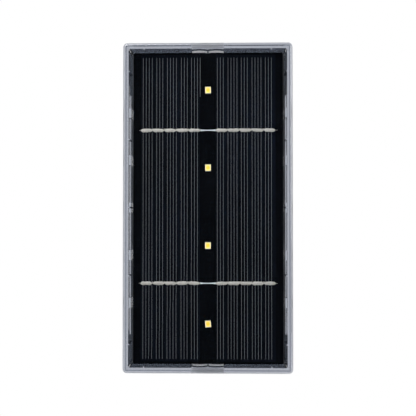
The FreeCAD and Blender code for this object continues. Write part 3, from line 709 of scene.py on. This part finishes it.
class CoverMasks:
    """Masks on the clear cover for its painted shade, each 1 where its forms lie and 0 elsewhere."""

    def __init__(self, surface: Surface, at: CoverPlaces) -> None:
        """Args:
        surface: the cover's material.
        at: where the cover's forms lie.
        """
        self.surface, self.at = surface, at
        x, self.depth, self.height = surface.axes()
        self.across, self.along = surface.math("ABSOLUTE", x), surface.math("ABSOLUTE", self.height)

    def up_to(self, value: Socket, end: float) -> Socket:
        """Marks what lies before a place on one coordinate."""
        return self.surface.spread(value, end, end + self.at.soft / 2, (1.0, 0.0))

    def past(self, value: Socket, start: float) -> Socket:
        """Marks what lies past a place on one coordinate."""
        return self.surface.spread(value, start - self.at.soft / 2, start + self.at.soft / 2)

    def within(self, value: Socket, low: float, high: float) -> Socket:
        """Marks a stretch of one coordinate.

        Args:
            value: the coordinate.
            low: where the stretch starts.
            high: where it ends.

        Returns:
            The mask, with soft ends.
        """
        start = self.surface.spread(value, low - self.at.soft / 2, low)
        return self.surface.times(start, self.up_to(value, high))

    def behind(self) -> Socket:
        """Marks what lies behind the front plate."""
        return self.past(self.depth, self.at.plate + self.at.soft)

    def trough(self) -> Socket:
        """Marks the painted shade of the darker line that runs around the front."""
        at, surface = self.at, self.surface
        from_side = surface.math("SUBTRACT", self.across, at.outer_x)
        from_end = surface.math("SUBTRACT", self.along, at.outer_z)
        ring = self.within(surface.most(from_side, from_end), -at.trough_end, -at.trough_start)
        return surface.times(ring, surface.spread(self.depth, at.plate - at.soft, at.plate, (1.0, 0.0)))

    def rim(self) -> Socket:
        """Marks the rounded rim around the front."""
        at, surface = self.at, self.surface
        edge = surface.most(
            surface.spread(self.across, at.rim_x, at.rim_x + at.rim_fade),
            surface.spread(self.along, at.rim_z, at.rim_z + at.rim_fade),
        )
        front = surface.spread(self.depth, at.rim_back - at.rim_fade, at.rim_back + at.rim_fade, (1.0, 0.0))
        return surface.times(edge, front)

    def blocks(self) -> Socket:
        """Marks the latch blocks."""
        at = self.at
        return self.surface.times(self.up_to(self.across, at.block_x), self.past(self.along, at.block_z))

    def walls(self) -> Socket:
        """Marks the inner walls for painted shade, all but a line along the front of the long ones, which is
        left unshaded so that it reads bright.
        """
        at, surface = self.at, self.surface
        stretch = self.up_to(self.along, at.rail_end)
        line = surface.times(stretch, self.within(self.depth, at.line_front, at.line_back))
        sides = self.past(self.across, at.wall_x - at.side_lap)
        ends = self.past(self.along, at.wall_z - at.end_lap)
        return surface.most(surface.times(sides, surface.math("SUBTRACT", 1.0, line)), ends)

    def rails(self) -> Socket:
        """Marks the rails behind their front faces for painted shade, less so where they lie deep."""
        at = self.at
        deep = self.surface.spread(
            self.depth, at.rail_deep - at.rail_fade, at.rail_deep + at.rail_fade, (1.0, at.deep_shade_share)
        )
        start = self.past(self.depth, at.rail_start)
        return self.surface.times(self.past(self.across, at.rail_x - at.soft), start, deep)

    def ribs(self) -> Socket:
        """Marks the thin ribs on the long walls and on the end walls for painted shade."""
        at, surface = self.at, self.surface
        row = surface.math("PINGPONG", self.height, at.rib_pitch / 2)
        sides = surface.times(self.up_to(row, at.rib_half), self.past(self.across, at.wall_x - at.rib_rise))
        ends = surface.most(
            self.up_to(self.across, at.rib_half),
            self.within(self.across, at.end_rib_x - at.rib_half, at.end_rib_x + at.rib_half),
        )
        return surface.most(sides, surface.times(ends, self.past(self.along, at.wall_z - at.step_rise)))

    def steps(self) -> Socket:
        """Marks the fronts of the latch steps for painted shade."""
        at = self.at
        return self.surface.times(
            self.past(self.along, at.wall_z - at.step_rise), self.up_to(self.across, at.block_x),
            self.within(self.depth, at.plate + at.soft, at.step_back),
        )

    def grey(self) -> Socket:
        """Marks where painted shade greys the inside of the walls, behind the front plate."""
        at, surface = self.at, self.surface
        forms = surface.most(self.walls(), self.rails(), self.ribs(), self.steps())
        limit_x = self.up_to(self.across, at.wall_x + at.soft)
        limit_z = self.up_to(self.along, at.wall_z + at.soft)
        return surface.times(forms, limit_x, limit_z, self.behind())


@dataclass(frozen=True)
class ClearPlastic:
    """Clear moulded plastic: its volume loses light along the wall, and painted shade in the base colour
    darkens its inner walls, ribs, rails and latch steps and greys a trough around the front.
    """

    name: str = "clear polycarbonate"
    color: Color = (0.97, 0.975, 0.98)
    # painted shade: this dark base colour on the inner walls, ribs, rails and latch steps stands in for
    # shade seen through the walls
    painted_wall_shade: Color = (0.02, 0.026, 0.04)
    # painted shade: the grey base colour of the trough that runs around the front
    painted_trough_shade: Color = (0.4, 0.42, 0.46)
    lamp_color: Color = (0.88, 0.89, 0.9)
    loss_color: Color = (0.08, 0.13, 0.26)
    loss: float = 31.0
    refraction: float = 1.58
    wall_rough: float = 0.06
    block_frost: float = 0.42
    rim_frost: float = 0.4
    places: CoverPlaces = CoverPlaces()

    def make(self) -> Material:
        """Returns the material: clear face, painted shade on the inner walls and ribs, a painted grey
        trough, frosted rim and latch blocks.
        """
        surface = Surface(self.name)
        masks = CoverMasks(surface, self.places)
        tone = surface.effect(Effect.DRIFT, Base=self.color, Amount=0.02, Scale=120.0)
        grain = surface.effect(Effect.GRAIN, Scale=900.0, Smooth=0.0, Rough=self.wall_rough)
        # painted shade: the trough's grey is blended into the base colour here
        clear = surface.blend(masks.trough(), tone.outputs["Color"], self.painted_trough_shade)
        rough = surface.most(
            surface.times(grain.outputs["Roughness"], masks.behind()),
            surface.times(masks.rim(), self.rim_frost), surface.times(masks.blocks(), self.block_frost),
        )
        surface.look(
            # painted shade: the dark wall colour is blended into the base colour wherever grey() marks
            Base_Color=surface.blend(masks.grey(), clear, self.painted_wall_shade), Roughness=rough,
            Transmission_Weight=1.0, IOR=self.refraction,
        )
        surface.cover(surface.ray("Shadow"), surface.add("BsdfTransparent", Color=self.lamp_color))
        loss = surface.add("VolumeAbsorption", Color=self.loss_color, Density=self.loss)
        surface.fill(surface.output, Volume=loss.outputs[0])
        return surface.material


@dataclass(frozen=True)
class SolarSilicon:
    """Near-black coated silicon with a faint grain and bluish drift."""

    name: str = "coated silicon"
    color: Color = (0.0022, 0.003, 0.0045)
    blue: Color = (0.003, 0.0042, 0.0075)
    stretch: Point = (1.0, 1.0, 0.25)
    gloss: float = 0.06
    depth: float = 0.002 * MM

    def make(self) -> Material:
        """Returns the material."""
        surface = Surface(self.name)
        grain = surface.effect(Effect.GRAIN, Scale=5200.0, Smooth=0.14, Rough=0.22)
        lumps = surface.spread(surface.cloud(45.0, 5.0, self.stretch), 0.35, 0.7)
        surface.look(
            Base_Color=surface.blend(lumps, self.color, self.blue), Roughness=grain.outputs["Roughness"],
            Specular_IOR_Level=self.gloss,
        )
        surface.bump(grain.outputs["Height"], self.depth)
        return surface.material


@dataclass(frozen=True)
class Phosphor:
    """Yellow fill of the small lights, deeper in the middle of each window."""

    name: str = "yellow phosphor"
    edge: Color = (1.0, 0.7, 0.2)
    core: Color = (1.0, 0.52, 0.02)
    row_lift: float = 0.6 * MM
    pitch: float = 39.625 * MM
    reach: float = 1.3 * MM
    core_share: float = 0.45
    speckle: float = 0.12
    rough: float = 0.3
    coat: float = 0.2
    glow: float = 0.1

    def make(self) -> Material:
        """Returns the material."""
        surface = Surface(self.name)
        across, _, height = surface.axes()
        shifted = surface.math("SUBTRACT", height, self.row_lift - self.pitch * 2)
        along = surface.math("SUBTRACT", surface.math("MODULO", shifted, self.pitch), self.pitch / 2)
        far = surface.spread(surface.reach(across, along), self.reach * self.core_share, self.reach)
        specks = surface.spread(surface.cloud(9000.0, 2.0), 0.3, 0.7, (-self.speckle, self.speckle))
        color = surface.blend(surface.math("ADD", far, specks, clamp=True), self.core, self.edge)
        surface.look(
            Base_Color=color, Emission_Color=color, Emission_Strength=self.glow, Roughness=self.rough,
            Coat_Weight=self.coat,
        )
        return surface.material


# ---------------------------------------------------------------- sub-assemblies


@dataclass
class ClearCover:
    """Clear box over the panel, with small moulded radii on all its edges."""

    edge_radius: float = 0.12 * MM
    face_radius: float = 1.2 * MM
    face_segments: int = 6
    near: float = 0.01 * MM
    finish: ClearPlastic = ClearPlastic()

    def build(self) -> None:
        """Builds the cover."""
        cover = moulded_copy("front_cover", "clear_cover", self.edge_radius, shape=self.round_face)
        finish_piece(cover, "clear_cover", self.finish.make())

    def round_face(self, cover: Piece) -> None:
        """Rounds the long edge around the front face.

        Args:
            cover: the welded copy of the cover.
        """
        face = CAD_BOX[0].y
        side, end = CAD_BOX[1].x - self.face_radius, CAD_BOX[1].z - self.face_radius

        def rim(place: Vector, run: Vector) -> bool:
            """Says whether an edge lies around the front face."""
            outer = abs(place.x) > side or abs(place.z) > end
            return place.y < face + self.near and abs(run.y) < SAME and outer

        edges = pick(cover, Face.EDGE, rim)
        bpy.ops.mesh.bevel(
            offset=self.face_radius, segments=self.face_segments, affect="EDGES", clamp_overlap=False
        )
        leave_edit()
        LOG.info("front edge: %d edges rounded", edges)


@dataclass
class BlackBack:
    """Black back cover, the two seals and the bond under the panel."""

    edge_radius: float = 0.12 * MM
    finish: Moulded = Moulded(
        "textured black plastic", (0.018, 0.0185, 0.02), smooth=0.42, rough=0.6, grain=2600.0,
        depth=0.012 * MM, drift=0.15, dust=0.06,
    )
    seal_finish: Moulded = Moulded("black seal rubber", (0.012, 0.012, 0.0125), 0.5, 0.7)
    bond_finish: Moulded = Moulded("black silicone", (0.015, 0.015, 0.016), 0.3, 0.45, 500.0, 0.02 * MM)

    def build(self) -> None:
        """Builds the back cover and dresses the seals and the bond."""
        back = moulded_copy("back_cover", "black_back", self.edge_radius)
        dress(["perimeter_seal", "button_seal"], self.seal_finish.make())
        dress(["board_bond"], self.bond_finish.make())
        finish_piece(back, "black_cover", self.finish.make())


@dataclass(frozen=True)
class PrintedStrip:
    """One strip's printed lines: where the first lies, how many there are, and where a short one lies."""

    first: float
    lines: int
    short_at: float = 0.0


@dataclass
class SolarPanel:
    """Board with ten solar strips, their printed lines and two solder runs."""

    line_width: float = 0.13 * MM
    line_rise: float = 0.014 * MM
    line_sunk: float = 0.3
    line_slope: float = 0.2
    line_top: float = 0.7
    line_pitch: float = 1.53 * MM
    line_end: float = 1.3 * MM
    short_length: float = 20.0 * MM
    left: tuple[PrintedStrip, ...] = (
        PrintedStrip(1.38 * MM, 3, 5.84 * MM), PrintedStrip(2.32 * MM, 3), PrintedStrip(1.32 * MM, 4),
        PrintedStrip(2.02 * MM, 3), PrintedStrip(1.19 * MM, 4),
    )
    right: tuple[PrintedStrip, ...] = (
        PrintedStrip(0.76 * MM, 3), PrintedStrip(0.09 * MM, 4), PrintedStrip(0.74 * MM, 3),
        PrintedStrip(0.09 * MM, 4), PrintedStrip(0.76 * MM, 3),
    )
    ribbon_height: float = 0.55 * MM
    ribbon_rise: float = 0.17 * MM
    ribbon_sunk: float = 0.05 * MM
    ribbon_tip: float = 0.25
    bead_height: float = 1.9 * MM
    bead_rise: float = 0.34 * MM
    bead_lumps: tuple[tuple[float, float], ...] = ((-0.48, 0.5), (0.0, 0.62), (0.48, 0.5))
    bead_drift: float = 0.05
    bead_wander: float = 0.07 * MM
    bead_least: tuple[float, float] = (0.8, 0.82)
    bead_rings: int = 14
    lump_rise: float = 0.07 * MM
    lump_scale: float = 900.0
    melt_share: float = 0.4
    melt_rounds: int = 2
    melt_angle: float = 60.0
    voxel: float = 0.1 * MM
    link_height: float = 0.55 * MM
    link_cuts: int = 7
    link_edge: float = 0.1 * MM
    link_angle: float = 50.0
    link_waist: float = 0.8
    link_flare: float = 0.9
    link_thin: float = 0.75
    board_finish: Moulded = Moulded(
        "black solder mask", (0.0016, 0.002, 0.0028), smooth=0.16, rough=0.24, grain=1800.0,
        depth=0.002 * MM, drift=0.3, dust=0.0, gloss=0.05,
    )
    strip_finish: SolarSilicon = SolarSilicon()
    line_finish: BareMetal = BareMetal("silver print", (0.122, 0.124, 0.127), 0.4, 0.55, metallic=0.2)
    solder: BareMetal = BareMetal(
        "tinned solder", (0.36, 0.347, 0.31), smooth=0.3, rough=0.55, grain=2400.0,
        depth=0.03 * MM, metallic=0.4, drift=0.35, patches=700.0,
    )
    wire_color: Color = (0.55, 0.6, 0.61)

    def build(self) -> None:
        """Builds the printed lines, the solder runs and the links, and dresses board and strips."""
        dress(["solar_board"], self.board_finish.make())
        dress([f"solar_strip_{side}_{n}" for side in SIDES for n in STRIPS], self.strip_finish.make())
        silver, solder = self.line_finish.make(), self.solder.make()
        wire = replace(self.solder, name="tinned wire", color=self.wire_color).make()
        for side, strips in zip(SIDES, (self.left, self.right)):
            for number, strip in zip(STRIPS, strips):
                lines = self.lines(f"solar_strip_{side}_{number}", f"print_lines_{side}_{number}", strip)
                finish_piece(lines, "solder", silver)
        for height in ("upper", "lower"):
            for side in SIDES:
                run = self.solder_run(f"solder_run_{height}_{side}", f"solder_{height}_{side}", side)
                finish_piece(run, "solder", solder)
            finish_piece(self.link(f"solder_link_{height}", f"link_{height}"), "solder", wire)

    def lines(self, node: str, name: str, strip: PrintedStrip) -> Piece:
        """Lays a strip's printed lines: one tapered bar, repeated across.

        Args:
            node: the strip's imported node.
            name: the new piece's name.
            strip: where its lines lie.

        Returns:
            The lines as one piece.
        """
        low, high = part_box(node)
        bottom, top = low.z + self.line_end, high.z - self.line_end
        bar = self.bar(name, low.x + strip.first, low.y, bottom, top)
        apply_modifier(
            bar, "ARRAY", count=strip.lines, use_relative_offset=False, use_constant_offset=True,
            constant_offset_displace=(self.line_pitch, 0.0, 0.0),
        )
        if strip.short_at:
            short = self.bar("short_line", low.x + strip.short_at, low.y, top - self.short_length, top)
            bar = join([bar, short])
        return bar

    def bar(self, name: str, x: float, face: float, bottom: float, top: float) -> Piece:
        """Makes one printed line with sloped sides.

        Args:
            name: the bar's name.
            x: its middle across the strip.
            face: Y of the strip's face.
            bottom: its lower end.
            top: its upper end.

        Returns:
            The bar.
        """
        half, rise = self.line_width / 2, self.line_rise
        bar = add_block(name, (x - half, face - rise * self.line_sunk, bottom), (x + half, face + rise, top))
        pick(bar, Face.SURFACE, lambda middle, normal: normal.y < FRONTWARD)
        bpy.ops.mesh.inset(thickness=self.line_width * self.line_slope, depth=rise * self.line_top)
        leave_edit()
        return bar

    def solder_run(self, node: str, name: str, side: str) -> Piece:
        """Lays beads of solder on a ribbon with a pointed outer end and melts them together.

        Args:
            node: the run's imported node.
            name: the new piece's name.
            side: which side of the panel it crosses.

        Returns:
            The run as one piece.
        """
        low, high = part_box(node)
        tip = high.x if side == "right" else low.x
        middle, face = (low.z + high.z) / 2, high.y
        shape = random.Random(name)
        ribbon = add_block(
            name, (low.x, face - self.ribbon_rise, middle - self.ribbon_height / 2),
            (high.x, face + self.ribbon_sunk, middle + self.ribbon_height / 2),
        )
        pick(ribbon, Face.VERTEX, lambda place, normal: abs(place.x - tip) < SAME)
        bpy.ops.transform.resize(value=(1.0, 1.0, self.ribbon_tip))
        leave_edit()
        parts = [ribbon]
        for number in STRIPS:
            start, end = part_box(f"solar_strip_{side}_{number}")
            spot = ((start.x + end.x) / 2, face, middle)
            parts.append(self.bead(spot, (end.x - start.x) / 2, shape))
        run = join(parts)
        run.name = run.data.name = name
        apply_modifier(run, "REMESH", mode="VOXEL", voxel_size=self.voxel, use_smooth_shade=True)
        self.melt(run, face, len(name))
        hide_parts(node)
        return run

    def bead(self, spot: Point, half: float, shape: random.Random) -> Piece:
        """Adds one long bead of solder, uneven as hand-laid ones are.

        Args:
            spot: the bead's middle, on the strip's face.
            half: half a strip's width.
            shape: the run's source of small differences.

        Returns:
            The bead.
        """
        parts = []
        x, face, z = spot
        for share, reach in self.bead_lumps:
            deselect()
            across = half * (share + shape.uniform(-self.bead_drift, self.bead_drift))
            up = shape.uniform(-self.bead_wander, self.bead_wander)
            bpy.ops.mesh.primitive_uv_sphere_add(
                segments=self.bead_rings * 2, ring_count=self.bead_rings, radius=1.0,
                location=(x + across, face, z + up),
            )
            lump = bpy.context.object
            rise, height = (shape.uniform(least, 1.0) for least in self.bead_least)
            lump.scale = (half * reach, self.bead_rise * rise, self.bead_height / 2 * height)
            parts.append(settle(lump, "bead"))
        return join(parts)

    def melt(self, run: Piece, face: float, seed: int) -> None:
        """Makes a run's surface lumpy and cuts it flat where it lies on the strips.

        Args:
            run: the remeshed run.
            face: Y of the strips' face.
            seed: shifts the lumps from run to run.
        """
        places = []
        for vertex in run.data.vertices:
            lump = noise.noise(vertex.co * self.lump_scale + Vector((seed, 0.0, 0.0)))
            place = vertex.co + vertex.normal * (lump * self.lump_rise)
            places.extend((place.x, max(place.y, face - self.bead_rise), place.z))
        run.data.vertices.foreach_set("co", places)
        run.data.update()
        apply_modifier(run, "SMOOTH", factor=self.melt_share, iterations=self.melt_rounds)
        edit_all(run)
        bpy.ops.mesh.bisect(
            plane_co=(0.0, face, 0.0), plane_no=(0.0, 1.0, 0.0), use_fill=True, clear_outer=True
        )
        leave_edit()
        smooth(run, self.melt_angle)

    def link(self, node: str, name: str) -> Piece:
        """Draws the thin link across the bare middle, thicker where it meets the solder.

        Args:
            node: the link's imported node.
            name: the new piece's name.

        Returns:
            The link.
        """
        low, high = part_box(node)
        middle, half = (low.z + high.z) / 2, self.link_height / 2
        bar = add_block(name, (low.x, low.y, middle - half), (high.x, high.y, middle + half))
        pick(bar, Face.EDGE, lambda place, run: abs(run.x) > SAME)
        bpy.ops.mesh.subdivide(number_cuts=self.link_cuts)
        leave_edit()
        for vertex in bar.data.vertices:
            share = abs(vertex.co.x) / high.x
            height = self.link_waist + self.link_flare * share**3
            rise = self.link_thin + (1.0 - self.link_thin) * share**2
            vertex.co.z = middle + (vertex.co.z - middle) * height
            vertex.co.y = high.y + (vertex.co.y - high.y) * rise
        apply_modifier(
            bar, "BEVEL", width=self.link_edge, segments=3, limit_method="ANGLE",
            angle_limit=math.radians(SHARP_ANGLE),
        )
        smooth(bar, self.link_angle)
        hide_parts(node)
        return bar


@dataclass
class SmallLights:
    """Four small lights: white housings, yellow fill and tinned end terminals."""

    count: int = 4
    leaning: int = 4
    lean: float = 10.0
    turns: tuple[float, ...] = (1.5, 0.5, -0.5, 5.0)
    housing_edge: float = 0.05 * MM
    fill_edge: float = 0.02 * MM
    half_length: float = 1.75 * MM
    terminal_width: float = 2.84 * MM
    terminal_cover: float = 0.25 * MM
    terminal_reach: float = 0.03 * MM
    terminal_rise: float = 0.815 * MM
    terminal_edge: float = 0.06 * MM
    housing_finish: Moulded = Moulded(
        "white housing", (0.9, 0.82, 0.56), smooth=0.25, rough=0.35, grain=4000.0,
        depth=0.002 * MM, drift=0.05, dust=0.0,
    )
    fill_finish: Phosphor = Phosphor()
    terminal_finish: BareMetal = BareMetal("tinned terminal", (0.3, 0.29, 0.27), 0.3, 0.45)

    def build(self) -> None:
        """Builds the housings, the leaning light's fill and the terminals, and dresses the other fills."""
        white, yellow, tinned = (
            finish.make() for finish in (self.housing_finish, self.fill_finish, self.terminal_finish)
        )
        numbers = range(1, self.count + 1)
        dress([f"led_fill_{n}" for n in numbers if n != self.leaning], yellow)
        for number in numbers:
            housing = moulded_copy(f"led_housing_{number}", f"light_housing_{number}", self.housing_edge)
            finish_piece(housing, "light_housing", white)
            if number == self.leaning:
                fill = moulded_copy(f"led_fill_{number}", f"light_fill_{number}", self.fill_edge)
                finish_piece(fill, "light_fill", yellow)
                self.turn([housing, fill], number, self.lean)
            finish_piece(self.terminals(number), "solder", tinned)

    def turn(self, pieces: list[Piece], number: int, degrees: float) -> None:
        """Turns pieces of a light about its own middle, as seen from the front.

        Args:
            pieces: meshes to turn.
            number: which light, from the top.
            degrees: how far.
        """
        low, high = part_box(f"led_housing_{number}")
        for piece in pieces:
            edit_all(piece)
            bpy.ops.transform.rotate(
                value=math.radians(degrees), orient_axis="Y", orient_type="GLOBAL",
                center_override=(low + high) / 2,
            )
            leave_edit()

    def terminals(self, number: int) -> Piece:
        """Adds the two end terminals of a light.

        Args:
            number: which light, from the top.

        Returns:
            Both terminals as one piece.
        """
        low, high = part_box(f"led_housing_{number}")
        centre, face, half = (low + high) / 2, high.y, self.terminal_width / 2
        plates = []
        for side in (-1, 1):
            near = centre.z + side * (self.half_length - self.terminal_cover)
            far = centre.z + side * (self.half_length + self.terminal_reach)
            plate = add_block(
                "terminal", (centre.x - half, face - self.terminal_rise, min(near, far)),
                (centre.x + half, face, max(near, far)),
            )

            def outer(place: Vector, run: Vector) -> bool:
                """Says whether an edge lies at the terminal's outer end, off the board."""
                return abs(place.z - far) < SAME and place.y < face - self.terminal_rise / 4

            pick(plate, Face.EDGE, outer)
            bpy.ops.mesh.bevel(offset=self.terminal_edge, segments=2, affect="EDGES")
            leave_edit()
            plates.append(plate)
        pair = join(plates)
        self.turn([pair], number, self.turns[number - 1])
        return settle(pair, f"terminals_{number}")


@dataclass
class PowerPack:
    """Battery with its sleeve, tabs, foam and leads."""

    can: BareMetal = BareMetal("nickel-plated can", (0.6, 0.6, 0.58))
    tab: BareMetal = BareMetal("nickel strip", (0.66, 0.65, 0.61), 0.3, 0.5)
    sleeve: Moulded = Moulded("blue shrink sleeve", (0.03, 0.1, 0.32), 0.18, 0.3, 1500.0, 0.002 * MM)
    foam: Moulded = Moulded("closed-cell foam", (0.02, 0.02, 0.021), 0.7, 0.9, 1800.0, 0.05 * MM)
    red: Moulded = Moulded("red lead sleeve", (0.45, 0.012, 0.012), 0.3, 0.45)
    black: Moulded = Moulded("black lead sleeve", (0.012, 0.012, 0.012), 0.3, 0.45)

    def build(self) -> None:
        """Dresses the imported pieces."""
        dress(["battery_cell"], self.can.make())
        dress(["battery_wrap"], self.sleeve.make())
        dress(["battery_tab_upper", "battery_tab_lower"], self.tab.make())
        dress(["battery_cushion"], self.foam.make())
        dress(["battery_lead_red"], self.red.make())
        dress(["battery_lead_black"], self.black.make())


@dataclass
class ControlUnit:
    """Control board with its parts, screws and ribbon."""

    board: Moulded = Moulded("green solder mask", (0.008, 0.09, 0.03), 0.25, 0.38, 1500.0, 0.004 * MM, 0.25)
    package: Moulded = Moulded("chip package", (0.016, 0.016, 0.017), 0.45, 0.6)
    ferrite: Moulded = Moulded("dark ferrite", (0.045, 0.045, 0.05), 0.4, 0.6, 1200.0, 0.01 * MM)
    can: BareMetal = BareMetal("bare can", (0.72, 0.72, 0.73))
    screw: BareMetal = BareMetal("zinc-plated steel", (0.5, 0.5, 0.48))
    cable: Moulded = Moulded("grey flat cable", (0.3, 0.31, 0.33), 0.35, 0.5)

    def build(self) -> None:
        """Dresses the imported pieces."""
        dress(["control_board"], self.board.make())
        dress(["controller_chip"], self.package.make())
        dress(["choke"], self.ferrite.make())
        dress(["storage_capacitor"], self.can.make())
        dress(["board_screw_upper", "board_screw_lower"], self.screw.make())
        dress(["panel_ribbon"], self.cable.make())


@dataclass
class PushSwitch:
    """Push switch, its plunger and the soft button in the back."""

    edge_radius: float = 0.35 * MM
    edge_segments: int = 4
    case: Moulded = Moulded("switch case", (0.014, 0.014, 0.015), 0.4, 0.5)
    stem: Moulded = Moulded("switch stem", (0.6, 0.6, 0.57), 0.35, 0.45)
    rubber: Moulded = Moulded("soft black button", (0.022, 0.022, 0.023), 0.5, 0.68, 2000.0, 0.01 * MM)

    def build(self) -> None:
        """Builds the button and dresses the switch."""
        dress(["switch_body"], self.case.make())
        dress(["switch_plunger"], self.stem.make())
        button = moulded_copy("button_cap", "soft_button", self.edge_radius, self.edge_segments)
        finish_piece(button, "button_rubber", self.rubber.make(), "button")


# ---------------------------------------------------------------- studio


@dataclass(frozen=True)
class Lamp:
    """A square soft lamp: its place and side in metres, and its power in watts."""

    name: str
    place: Point
    size: float
    power: float


@dataclass
class Studio:
    """Pale floor, soft lamps, a dark card behind the camera and the camera itself."""

    floor_drop: float = 0.22
    floor_half: float = 0.55
    floor_color: Color = (0.82, 0.82, 0.81)
    fade_start: float = 0.35
    fade_end: float = 0.97
    card_place: Point = (0.0, -1.3, 0.0)
    card_width: float = 0.75
    card_height: float = 1.1
    card_color: Color = (0.004, 0.004, 0.0045)
    sky_color: Color = (0.96, 0.975, 1.0)
    sky_strength: float = 0.6
    white: Color = (1.0, 1.0, 1.0)
    lamps: tuple[Lamp, ...] = (
        Lamp("key", (-0.45, -0.75, 0.75), 0.7, 11.0), Lamp("fill", (0.7, -0.7, 0.25), 0.6, 4.0),
        Lamp("edge", (-0.55, -0.2, 0.05), 0.3, 1.6), Lamp("edge", (0.55, -0.2, 0.05), 0.3, 1.6),
    )
    camera_distance: float = 0.37
    camera_side: float = 0.0083
    camera_rise: float = -0.0079
    aim_side: float = 0.0002
    aim_rise: float = -0.0003
    frame_width: float = 0.2058
    sensor_width: float = 36.0

    def build(self) -> None:
        """Sets up the floor, the card, the world, the lamps and the camera."""
        self.floor()
        self.card()
        self.world()
        for lamp in self.lamps:
            self.place(lamp.name, self.lamp(lamp), Vector(lamp.place), Vector())
        self.camera()
        bpy.context.scene.view_settings.view_transform = "Standard"

    def floor(self) -> None:
        """Adds the floor: pale, with its far parts fading to the white of the backdrop."""
        deselect()
        bpy.ops.mesh.primitive_circle_add(
            vertices=96, radius=self.floor_half, fill_type="NGON",
            location=(0.0, 0.0, CAD_BOX[0].z - self.floor_drop),
        )
        surface = Surface("pale floor")
        tone = surface.effect(Effect.DRIFT, Base=self.floor_color, Amount=0.02, Scale=8.0)
        surface.look(Base_Color=tone.outputs["Color"], Roughness=0.8)
        reach = surface.reach(*surface.axes()[:2])
        far = surface.spread(reach, self.floor_half * self.fade_start, self.floor_half * self.fade_end)
        self.whiten(settle(bpy.context.object, "floor"), surface, surface.times(far, surface.ray("Camera")))

    def card(self) -> None:
        """Adds the dark card that the clear face reflects; to the camera itself it is white."""
        deselect()
        bpy.ops.mesh.primitive_plane_add(
            size=1.0, location=self.card_place, rotation=(math.radians(90), 0.0, 0.0)
        )
        bpy.context.object.scale = (self.card_width, self.card_height, 1.0)
        surface = Surface("dark card")
        surface.look(Base_Color=self.card_color, Roughness=0.9, Specular_IOR_Level=0.0)
        self.whiten(settle(bpy.context.object, "dark_card"), surface, surface.ray("Camera"))

    def whiten(self, item: Piece, surface: Surface, share: Socket) -> None:
        """Dresses a piece of the stage that turns white where a mask says so.

        Args:
            item: the piece of the stage.
            surface: its material.
            share: the mask.
        """
        surface.cover(share, surface.add("Emission", Color=self.white, Strength=1.0))
        item.data.materials.append(surface.material)

    def world(self) -> None:
        """Lights the studio softly all round, with a white backdrop."""
        world = bpy.data.worlds.new("studio")
        bpy.context.scene.world = world
        world.use_nodes = True
        nodes = Nodes(world.node_tree)
        soft = nodes.find("BACKGROUND")
        nodes.fill(soft, Color=self.sky_color, Strength=self.sky_strength)
        backdrop = nodes.add("Background", Color=self.white, Strength=1.0)
        shown = nodes.most(*(nodes.ray(kind) for kind in ("Camera", "Glossy", "Transmission")))
        nodes.mix(shown, soft, backdrop, nodes.find("OUTPUT_WORLD"))

    def lamp(self, lamp: Lamp) -> bpy.types.Light:
        """Returns a lamp's data."""
        data = bpy.data.lights.new(lamp.name, "AREA")
        data.size, data.energy = lamp.size, lamp.power
        return data

    def place(self, name: str, data: bpy.types.ID, spot: Vector, aim: Vector) -> Piece:
        """Puts a lamp or the camera in its place and points it.

        Args:
            name: its name.
            data: the lamp or camera.
            spot: where it stands.
            aim: what it looks at.

        Returns:
            The new object.
        """
        item = bpy.data.objects.new(name, data)
        item.location = spot
        item.rotation_euler = (aim - item.location).to_track_quat("-Z", "Y").to_euler()
        bpy.context.scene.collection.objects.link(item)
        return item

    def camera(self) -> None:
        """Adds the camera at the photograph's viewing angle."""
        data = bpy.data.cameras.new("camera")
        data.sensor_width = self.sensor_width
        data.lens = data.sensor_width * self.camera_distance / self.frame_width
        front = Vector((0.0, CAD_BOX[0].y, 0.0))
        spot = front + Vector((self.camera_side, -self.camera_distance, self.camera_rise))
        aim = front + Vector((self.aim_side, 0.0, self.aim_rise))
        bpy.context.scene.camera = self.place("camera", data, spot, aim)


def main() -> None:
    """Builds the sub-assemblies in order."""
    logging.basicConfig(level=logging.INFO, format="%(name)s: %(message)s")
    parts = (ClearCover, BlackBack, SolarPanel, SmallLights, PowerPack, ControlUnit, PushSwitch, Studio)
    for part in parts:
        LOG.info("%s", part.__name__)
        part().build()


if __name__ == "__main__":
    main()
